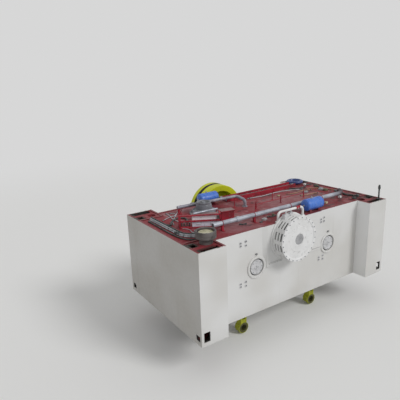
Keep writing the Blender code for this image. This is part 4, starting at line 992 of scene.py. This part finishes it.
def makeVessel():
    low, high, centre = placed('round_vessel')
    wide, foot, top = (high.x - low.x) / 2, low.z + vessel['foot'], high.z
    middle, half = (foot + top) / 2, (top - foot) / 2
    arc = [math.pi * step / 10 for step in range(11)]
    outside = [(wide - half + half * math.sin(a), middle - half * math.cos(a)) for a in arc]
    inner, dish = wide - vessel['rim'], top - vessel['dish']
    profile = [(vessel['hole'], low.z), (vessel['neck'], low.z), (vessel['neck'], foot)] + outside
    profile += [(inner, top), (inner - 0.012, top - 0.012), (inner - vessel['bevel'], dish),
                (vessel['hole'], dish)]
    piece('roundVessel', spun(profile, 'Z', 72, centre), 'navy', stands=['round_vessel'])
    bolts = boltCircle(10, inner + 0.02, centre, top - 0.002, 0.010, 0.010, 'Z')
    piece('roundVesselBolts', joined(bolts), 'grey')


makeVessel()
print('head and vessel')

# Hoses along the left edge of the deck, tied together into one run
hoseRun = {
    'strands': (                       # place across the run, height above the deck, radius, finish
        (0.040, 0.020, 0.020, 'cable'),
        (0.002, 0.017, 0.016, 'hose'),
        (-0.036, 0.020, 0.019, 'hose'),
        (0.018, 0.056, 0.020, 'cable'),
        (-0.022, 0.056, 0.020, 'hose'),
        (0.000, 0.090, 0.015, 'hose'),
    ),
    'clips': (0.12, 0.34, 0.56, 0.74, 0.9),
    'clip': ((-0.062, 0.002), (-0.060, 0.050), (-0.038, 0.084), (0.0, 0.109), (0.038, 0.086), (0.062, 0.050),
             (0.064, 0.002)),
    'half': 0.055,
    'end': (-2.60, -0.87),
    'bend': 0.26,
    'corner': 0.16,
    'swing': 0.004,
}


def makeHoseRun():
    low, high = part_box('hose_run')
    x, turnY = low.x + hoseRun['half'], low.y + hoseRun['half']
    bend = hoseRun['bend']
    corners = [(x, high.y, 0), (x, turnY + bend, 0), (x + bend, turnY, 0), (*hoseRun['end'], 0)]
    middle = bent(corners, hoseRun['corner'], 10)
    across = []
    for before, after in zip(middle[:1] + middle, middle[1:] + middle[-1:]):
        along = (after - before).normalized()
        across.append(Vector((-along.y, along.x, 0)))
    spin = random.Random(4)
    shapes = {}
    for sideways, height, radius, finish in hoseRun['strands']:
        route = []
        drift = spin.uniform(0, math.tau)
        for index, (place, outward) in enumerate(zip(middle, across)):
            swing = hoseRun['swing'] * math.sin(index * 0.9 + drift)
            route.append(place - outward * (sideways + swing) + Vector((0, 0, onDeck + height)))
        shapes.setdefault(finish, []).append(tube(flowing(route, 3), radius, 12))
    piece('hoseRun', joined(shapes['hose']), 'hose', stands=['hose_run'])
    piece('hoseRunPale', joined(shapes['cable']), 'cable')
    clips = []
    for share in hoseRun['clips']:
        index = int(share * (len(middle) - 1))
        clips.append(tube([middle[index] + across[index] * side + Vector((0, 0, onDeck + height))
                           for side, height in hoseRun['clip']], 0.006, 8))
    piece('hoseRunTies', joined(clips), 'darkGrey')


makeHoseRun()

# Thinner hoses and cables that lie on the deck, each held by a clip at its ends
looseRuns = (
    # finish, radius, height above the deck, places
    ('hose', 0.024, 0.026,
     ((-3.10, 0.62), (-2.98, 0.20), (-2.80, 0.42), (-2.52, 0.60), (-2.34, 0.46), (-2.44, 0.16))),
    ('hose', 0.020, 0.022,
     ((-3.26, 0.90), (-3.27, 0.30), (-3.28, -0.30), (-3.24, -0.80), (-3.10, -1.06), (-2.90, -1.12))),
    ('hose', 0.018, 0.060, ((-3.20, -0.42), (-3.05, -0.72), (-2.84, -0.80), (-2.66, -0.62))),
    ('cable', 0.013, 0.015, ((-2.52, 1.24), (-2.55, 0.96), (-2.64, 0.62), (-2.62, 0.30), (-2.70, 0.06))),
    ('cable', 0.011, 0.013, ((-2.44, 1.20), (-2.34, 1.00), (-2.52, 0.74), (-2.72, 0.50), (-2.86, 0.20))),
    ('cable', 0.012, 0.014, ((-1.96, 1.30), (-2.20, 1.12), (-2.40, 0.90), (-2.66, 0.84), (-2.92, 0.70))),
    ('cable', 0.010, 0.012, ((-2.90, -0.10), (-2.74, -0.36), (-2.78, -0.60), (-2.66, -0.74))),
    ('tan', 0.012, 0.014, ((1.82, 0.10), (2.05, 0.02), (2.30, 0.03), (2.53, -0.03))),
    ('tan', 0.010, 0.012, ((1.60, 0.52), (1.95, 0.44), (2.35, 0.50), (2.70, 0.40))),
    ('hose', 0.026, 0.028, ((3.02, -0.64), (2.96, -0.82), (3.04, -0.98), (3.00, -1.10))),
    ('hose', 0.020, 0.022, ((3.21, 0.75), (3.12, 0.60), (3.14, 0.46), (3.05, 0.34))),
    ('cable', 0.014, 0.016, ((0.30, 0.92), (0.90, 0.86), (1.50, 0.90), (2.10, 0.80), (2.50, 0.62))),
    ('hose', 0.016, 0.018, ((-0.49, -0.89), (-0.36, -0.96), (-0.20, -0.92))),
    ('hose', 0.018, 0.020, ((-1.48, -0.91), (-1.42, -0.96), (-1.33, -0.98))),
    ('hose', 0.018, 0.020, ((2.20, 0.98), (2.45, 0.82), (2.75, 0.78), (3.00, 0.95), (3.22, 0.90))),
    ('tan', 0.012, 0.014, ((2.62, 0.62), (2.86, 0.52), (3.10, 0.20), (3.24, -0.20))),
)


def makeLooseRuns():
    shapes = {}
    clips = []
    for finish, radius, height, places in looseRuns:
        route = flowing([(x, y, onDeck + height) for x, y in places], 8)
        shapes.setdefault(finish, []).append(tube(route, radius, 10))
        half, top = radius + 0.012, onDeck + height + radius + 0.003
        clips += [block((-half, -0.014, onDeck), (half, 0.014, top), (place.x, place.y, 0))
                  for place in (route[1], route[-2])]
    pieceOfEach('LooseRuns', shapes)
    piece('looseRunClips', joined(clips), 'darkGrey', bevel=0.002)


makeLooseRuns()
print('hoses')

# Valve cabinet in its frame of bars, and the box beside it
cabinet = {
    'turn': math.radians(-30),
    'half': 0.36,
    'depth': 0.13,
    'bar': 0.03,
    'reach': 0.36,
    'margin': 0.04,
    'white': 0.125,
    'lip': 0.02,
    'recess': 0.012,
    'end': 0.07,
    'line': ((-2.50, -0.23), (-1.74, -0.262)),
    'handles': (-0.18, 0.18),
    'seams': (-0.12, 0.12),
    'valves': 4,
    'valvePitch': 0.07,
}
junction = {'turn': math.radians(-12), 'half': 0.19, 'depth': 0.11, 'lid': 0.02, 'lidHeight': 0.04}


def makeCabinet():
    low, high, place = placed('valve_cabinet')
    half, depth, lip, turn = cabinet['half'], cabinet['depth'], cabinet['lip'], cabinet['turn']
    split, panel, under = high.z - cabinet['white'], -depth + cabinet['recess'], high.z - lip

    def part(a, b):
        return block(a, b, place, turn)

    upper = [part((-half, panel, split), (half, depth, high.z - 0.006)),
             part((-half, -depth, under), (half, panel, high.z)),
             part((-half, -depth, split), (-half + 0.03, panel, under)),
             part((half - 0.03, -depth, split), (half, panel, under))]
    piece('cabinetWhite', joined(upper), 'cabinetWhite', stands=['valve_cabinet'], bevel=0.002)
    end = part((half - cabinet['end'], -depth - 0.012, split + 0.016), (half - 0.004, -depth - gap, under))
    piece('cabinetEnd', end, 'nutIron')
    piece('cabinetFace', part((-half, -depth, low.z), (half, depth, split - gap)), 'lilac', bevel=0.004)
    top = part((-half + 0.002, -depth + 0.032, high.z - 0.0055), (half - 0.002, depth - 0.002, high.z))
    piece('cabinetTop', top, 'dusty')
    lift = high.z + 0.028
    start, (x, y) = cabinet['line']
    piece('cabinetLine', tube([(*start, lift), (x, y, lift)], 0.026, 14), 'pipe')
    stand = tube([(x - 0.03, y, low.z), (x - 0.03, y, lift - 0.015)], 0.016, 12)
    piece('cabinetLineStand', stand, 'brightRed')
    details = [part((x - 0.05, -depth - 0.02, low.z + 0.06), (x + 0.05, -depth - 0.001, low.z + 0.075))
               for x in cabinet['handles']]
    details += [part((x - 0.003, -depth - 0.002, low.z + 0.012), (x + 0.003, -depth + 0.001, split - 0.012))
                for x in cabinet['seams']]
    piece('cabinetHandles', joined(details), 'paleGrey')

    low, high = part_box('cabinet_frame')
    bar, margin = cabinet['bar'], cabinet['margin']
    left, right = -half - cabinet['reach'], half + margin
    front, rear = -depth - margin, depth + margin
    over, foot = high.z - bar, low.z + bar - gap
    bars = [part((left, front, low.z), (right, rear, foot)),
            part((half + gap, front, low.z + bar), (right, rear, high.z)),
            part((left, front, over + gap), (right - 0.001, front + 2 * bar, high.z)),
            part((left, front, foot), (left + 2 * bar, front + 2 * bar, over)),
            part((left + 0.02, front, split - 0.030), (right - 0.002, front + 0.026, split + 0.014)),
            part((left + 0.02, rear - 0.03, over - 0.10), (-half - 0.002, rear, over - 0.06)),
            part((left, rear - 0.045, foot), (left + 0.045, rear, over - 0.06))]
    piece('cabinetFrame', joined(bars), 'brightRed', stands=['cabinet_frame'], bevel=0.003)
    valves = []
    for index in range(cabinet['valves']):
        x, height = -half - cabinet['valvePitch'] * (index + 1), 0.09 + 0.02 * (index % 2)
        valves.append(part((x - 0.022, -0.05, foot), (x + 0.022, 0.05, foot + height)))
    piece('cabinetValves', joined(valves), 'nutIron', bevel=0.003)


def makeJunction():
    low, high, place = placed('junction_box')
    half, depth, turn = junction['half'], junction['depth'], junction['turn']
    lid, under = junction['lid'], high.z - junction['lidHeight']
    wide, deep = half + lid, depth + lid
    body = [block((-half, -depth, low.z), (half, depth, under), place, turn),
            block((-wide, -deep, under), (wide, deep, high.z - 0.004), place, turn)]
    piece('junctionBody', joined(body), 'brightRed', stands=['junction_box'], bevel=0.004)
    wide, deep = wide - 0.008, deep - 0.008
    top = block((-wide, -deep, high.z - 0.0035), (wide, deep, high.z), place, turn)
    piece('junctionTop', top, 'dusty', bevel=0.001)


makeCabinet()
makeJunction()
print('cabinet and junction box')

# Rail of thin posts, the corner post, and single posts on the deck
posts = {
    'radius': 0.016,
    'bar': 0.010,
    'railEnd': 0.0225,
    'railPlaces': (-0.18, 0.82, 1.82),
    'barHeight': 0.133,
    'single': ((-2.13, 1.04), (-0.56, 0.50), (-0.35, -0.22), (0.85, 0.36)),
    'singleRadius': 0.012,
    'singleHeight': 0.24,
}


def makePosts():
    low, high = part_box('deck_rail')
    y, z, radius = (low.y + high.y) / 2, low.z + posts['barHeight'], posts['radius']
    shapes = [tube([(low.x + posts['railEnd'], y, z), (high.x - posts['railEnd'], y, z)], posts['bar'], 10)]
    profile = [(0, low.z), (0.04, low.z), (0.04, low.z + 0.008), (radius, low.z + 0.012),
               (radius, high.z - 0.006), (radius - 0.006, high.z), (0, high.z)]
    shapes += [spun(profile, 'Z', 20, (x, y, 0)) for x in posts['railPlaces']]
    piece('deckRail', joined(shapes), 'brightRed', stands=['deck_rail'])
    radius, top = posts['singleRadius'], onDeck + posts['singleHeight']
    profile = [(0, onDeck), (0.035, onDeck), (0.035, onDeck + 0.008), (radius, onDeck + 0.012),
               (radius, top), (0, top)]
    piece('singlePosts', joined([spun(profile, 'Z', 16, (x, y, 0)) for x, y in posts['single']]), 'brightRed')
    low, high, centre = placed('corner_post')
    radius, top = (high.x - low.x) / 2, high.z
    profile = [(0, low.z), (radius + 0.03, low.z), (radius + 0.03, low.z + 0.012),
               (radius * 0.62, low.z + 0.02), (radius * 0.62, top - 0.13), (radius, top - 0.12),
               (radius, top - 0.05), (radius * 0.75, top - 0.04), (radius * 0.75, top - 0.006),
               (radius * 0.6, top), (0, top)]
    piece('cornerPost', spun(profile, 'Z', 28, centre), 'hose', stands=['corner_post'])


makePosts()

# Open channel along the rear, with the pipes that lie in it
channel = {
    'plate': 0.02,
    'firstRib': 0.30,
    'ribPitch': 0.55,
    'lines': ((0.075, 0.024, 'pipe'), (0.135, 0.020, 'cable'), (0.20, 0.026, 'hose'),
              (0.255, 0.018, 'cable')),
}


def makeChannel():
    low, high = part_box('rear_channel')
    plate = channel['plate']
    floor = low.z + plate
    sides = [block(low, (high.x, high.y, floor)),
             block((low.x, low.y, floor), (high.x, low.y + plate, high.z)),
             block((low.x, high.y - plate, floor), high)]
    x = low.x + channel['firstRib']
    while x < high.x:
        sides.append(block((x - 0.004, low.y - 0.012, low.z), (x + 0.004, low.y - gap, high.z - 0.02)))
        x += channel['ribPitch']
    piece('rearChannel', joined(sides), 'brightRed', stands=['rear_channel'], bevel=0.002)
    shapes = {}
    for across, radius, finish in channel['lines']:
        y, z = low.y + across, floor + radius + gap
        line = tube([(low.x + 0.02, y, z), (high.x - 0.02, y, z)], radius, 12)
        shapes.setdefault(finish, []).append(line)
    pieceOfEach('ChannelLines', shapes)


makeChannel()

# Pipe loop over the drum, with its red coupling
loop = {'radius': 0.035, 'bend': 0.12, 'flange': 0.075}


def makeLoop():
    low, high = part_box('pipe_loop')
    radius = loop['radius']
    y, left, right, top = (low.y + high.y) / 2, low.x + radius, high.x - radius, high.z - radius
    route = bent([(left, y, low.z), (left, y, top), (right, y, top), (right, y, low.z)], loop['bend'], 10)
    feet = [band(0, loop['flange'], low.z, low.z + 0.016, 'Z', 28, (x, y, 0)) for x in (left, right)]
    piece('pipeLoop', joined([tube(route, radius, 20)] + feet), 'cleanWhite', stands=['pipe_loop'])
    low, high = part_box('loop_coupling')
    centre = ((low.x + high.x) / 2, y, (low.z + high.z) / 2)
    half, wide, inner = (high.x - low.x) / 2, (high.z - low.z) / 2, radius + gap
    profile = [(inner, -half), (wide, -half), (wide, -half + 0.02), (wide - 0.012, -half + 0.022),
               (wide - 0.012, half - 0.022), (wide, half - 0.02), (wide, half), (inner, half)]
    piece('loopCoupling', spun(profile, 'X', 32, centre), 'brightRed', stands=['loop_coupling'])


makeLoop()
print('posts, channel and loop')

# Small blocks and fittings left on the deck: finish, place, half length, half width, height, turn in degrees
smallBlocks = (
    ('paleGrey', (-0.71, -1.01), 0.07, 0.05, 0.05, 20),
    ('olive', (-0.24, -0.85), 0.05, 0.03, 0.04, 40),
    ('beige', (1.77, -1.0), 0.06, 0.04, 0.05, 10),
    ('grey', (2.91, 0.19), 0.08, 0.06, 0.07, 25),
    ('olive', (2.96, 0.03), 0.07, 0.05, 0.06, -10),
    ('olive', (3.16, 0.60), 0.06, 0.05, 0.06, 30),
    ('cleanWhite', (2.59, -0.86), 0.05, 0.04, 0.06, 15),
    ('darkGrey', (2.79, -1.24), 0.06, 0.05, 0.06, 0),
    ('paleGrey', (-2.66, -0.56), 0.03, 0.02, 0.03, 25),
    ('darkGrey', (3.10, -0.30), 0.09, 0.04, 0.05, 60),
    ('grey', (2.30, 0.30), 0.07, 0.04, 0.045, -20),
    ('beige', (1.30, 0.55), 0.05, 0.03, 0.03, 15),
    ('darkGrey', (-0.91, -1.11), 0.04, 0.025, 0.03, 0),
    ('brightRed', (0.55, -0.75), 0.05, 0.03, 0.04, 0),
    ('darkGrey', (3.05, -1.15), 0.06, 0.05, 0.08, 15),
    ('cleanWhite', (3.02, 1.02), 0.05, 0.04, 0.05, 10),
    ('cleanWhite', (2.70, 1.69), 0.05, 0.04, 0.05, 10),
    ('cleanWhite', (2.675, 1.28), 0.05, 0.06, 0.06, 0),
)


def makeSmallBlocks():
    shapes = {}
    for finish, (x, y), half, width, height, turn in smallBlocks:
        top, cap = onDeck + height, width * 0.6
        shapes.setdefault(finish, []).extend([
            block((-half, -width, onDeck), (half, width, top), (x, y, 0), math.radians(turn)),
            band(0, cap, top, top + 0.012, 'Z', 16, (x, y, 0))])
    pieceOfEach('DeckFittings', shapes, bevel=0.004)


makeSmallBlocks()
print('deck fittings')

# Small groups of bolts on the front wall, and the eased left edge of the raised pad
wallGroups = {
    'places': ((-1.82, 2.09), (1.09, 2.12), (1.10, 0.94), (-1.83, 0.97)),
    'across': 0.085,
    'up': 0.055,
    'upLeft': 0.7,                     # share of that height for the left pair
    'single': ((-1.06, 1.96), (-1.12, 1.80)),
}
pad = {
    'wall': -1.455,                    # the wall's face beside the pad
    'edge': 1.04,
    'foot': 1.25,
    'slope': ((1.25, 0.027), (1.40, 0.030), (1.66, 0.13), (2.399, 0.16)),   # height, width
    'ledges': ((-0.98, -0.50), (0.30, 1.0)),
    'ledge': 1.33,
}


def makeWallFittings():
    face, raised = pad['wall'], wallLow.y
    bosses, holeShades = [], []
    for x, z in wallGroups['places']:
        for across, upShare in ((-1, wallGroups['upLeft']), (1, 1)):
            for up in (-1, 1):
                place = (x + across * wallGroups['across'], 0, z + up * wallGroups['up'] * upShare)
                front = raised if abs(place[0]) < pad['edge'] and z > pad['foot'] else face
                bosses.append(spun([(0.022, front), (0.040, front), (0.040, front - 0.010),
                                    (0.036, front - 0.014), (0.022, front - 0.014)], 'Y', 24, place))
                # dark disc just inside each boss: painted shade in its hole
                holeShades.append(band(0, 0.0218, front - 0.002, front - 0.006, 'Y', 16, place))
    # single dark dots on the wall: painted shade for small holes
    for x, z in wallGroups['single']:
        holeShades.append(band(0, 0.014, face, face - 0.004, 'Y', 16, (x, 0, z)))
    piece('wallBosses', joined(bosses), 'plateWhite')
    piece('wallHoleShades', joined(holeShades), 'darkGrey')
    shape = bmesh.new()
    edge, rings = -pad['edge'] - gap, []
    for z, width in pad['slope']:
        outline = ((edge, face), (-pad['edge'] - width, face), (edge, raised + gap))
        rings.append([shape.verts.new((x, y, z)) for x, y in outline])
    piece('padSlope', skinned(shape, rings, capped=True), 'white')
    ledges, seams, ledge = [], [], pad['ledge']
    for left, right in pad['ledges']:
        ledges.append(block((left, raised - 0.022, ledge), (right, raised + 0.001, ledge + 0.02)))
        # dark strip under each ledge: painted shadow
        seams.append(block((left, raised - 0.004, ledge - 0.016), (right, raised + 0.001, ledge - gap)))
    piece('padLedges', joined(ledges), 'white', bevel=0.003)
    piece('padLedgeShadows', joined(seams), 'darkGrey')


makeWallFittings()


# Valve and short pipes on top of the drum's back
def makeDrumTop():
    x, y, z = drumCentre.x, drumBack, drumCentre.z + drum['radius']
    route = [(x - 0.21, y - 0.10, z + 0.02), (x - 0.21, y - 0.10, z + 0.12), (x - 0.02, y - 0.10, z + 0.12),
             (x - 0.02, y - 0.10, z + 0.04)]
    shapes = [block((x - 0.30, y - 0.16, z - 0.10), (x - 0.12, y - 0.05, z + 0.04)),
              block((x - 0.08, y - 0.13, z - 0.02), (x + 0.04, y - 0.06, z + 0.06)),
              tube(bent(route, 0.05, 6), 0.016, 12)]
    piece('drumTopValve', joined(shapes), 'plateWhite', bevel=0.004)
    knobs = [band(0, 0.018, z + 0.06, z + 0.085, 'Z', 16, (x - 0.05, y - 0.095, 0)),
             band(0, 0.022, z + 0.04, z + 0.055, 'Z', 16, (x - 0.27, y - 0.10, 0))]
    piece('drumTopKnobs', joined(knobs), 'grey')


makeDrumTop()
print('wall fittings')

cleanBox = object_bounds()
for name, box in (('cad', cadBox), ('scene', cleanBox)):
    print(name, [tuple(round(value, 3) for value in corner) for corner in box])
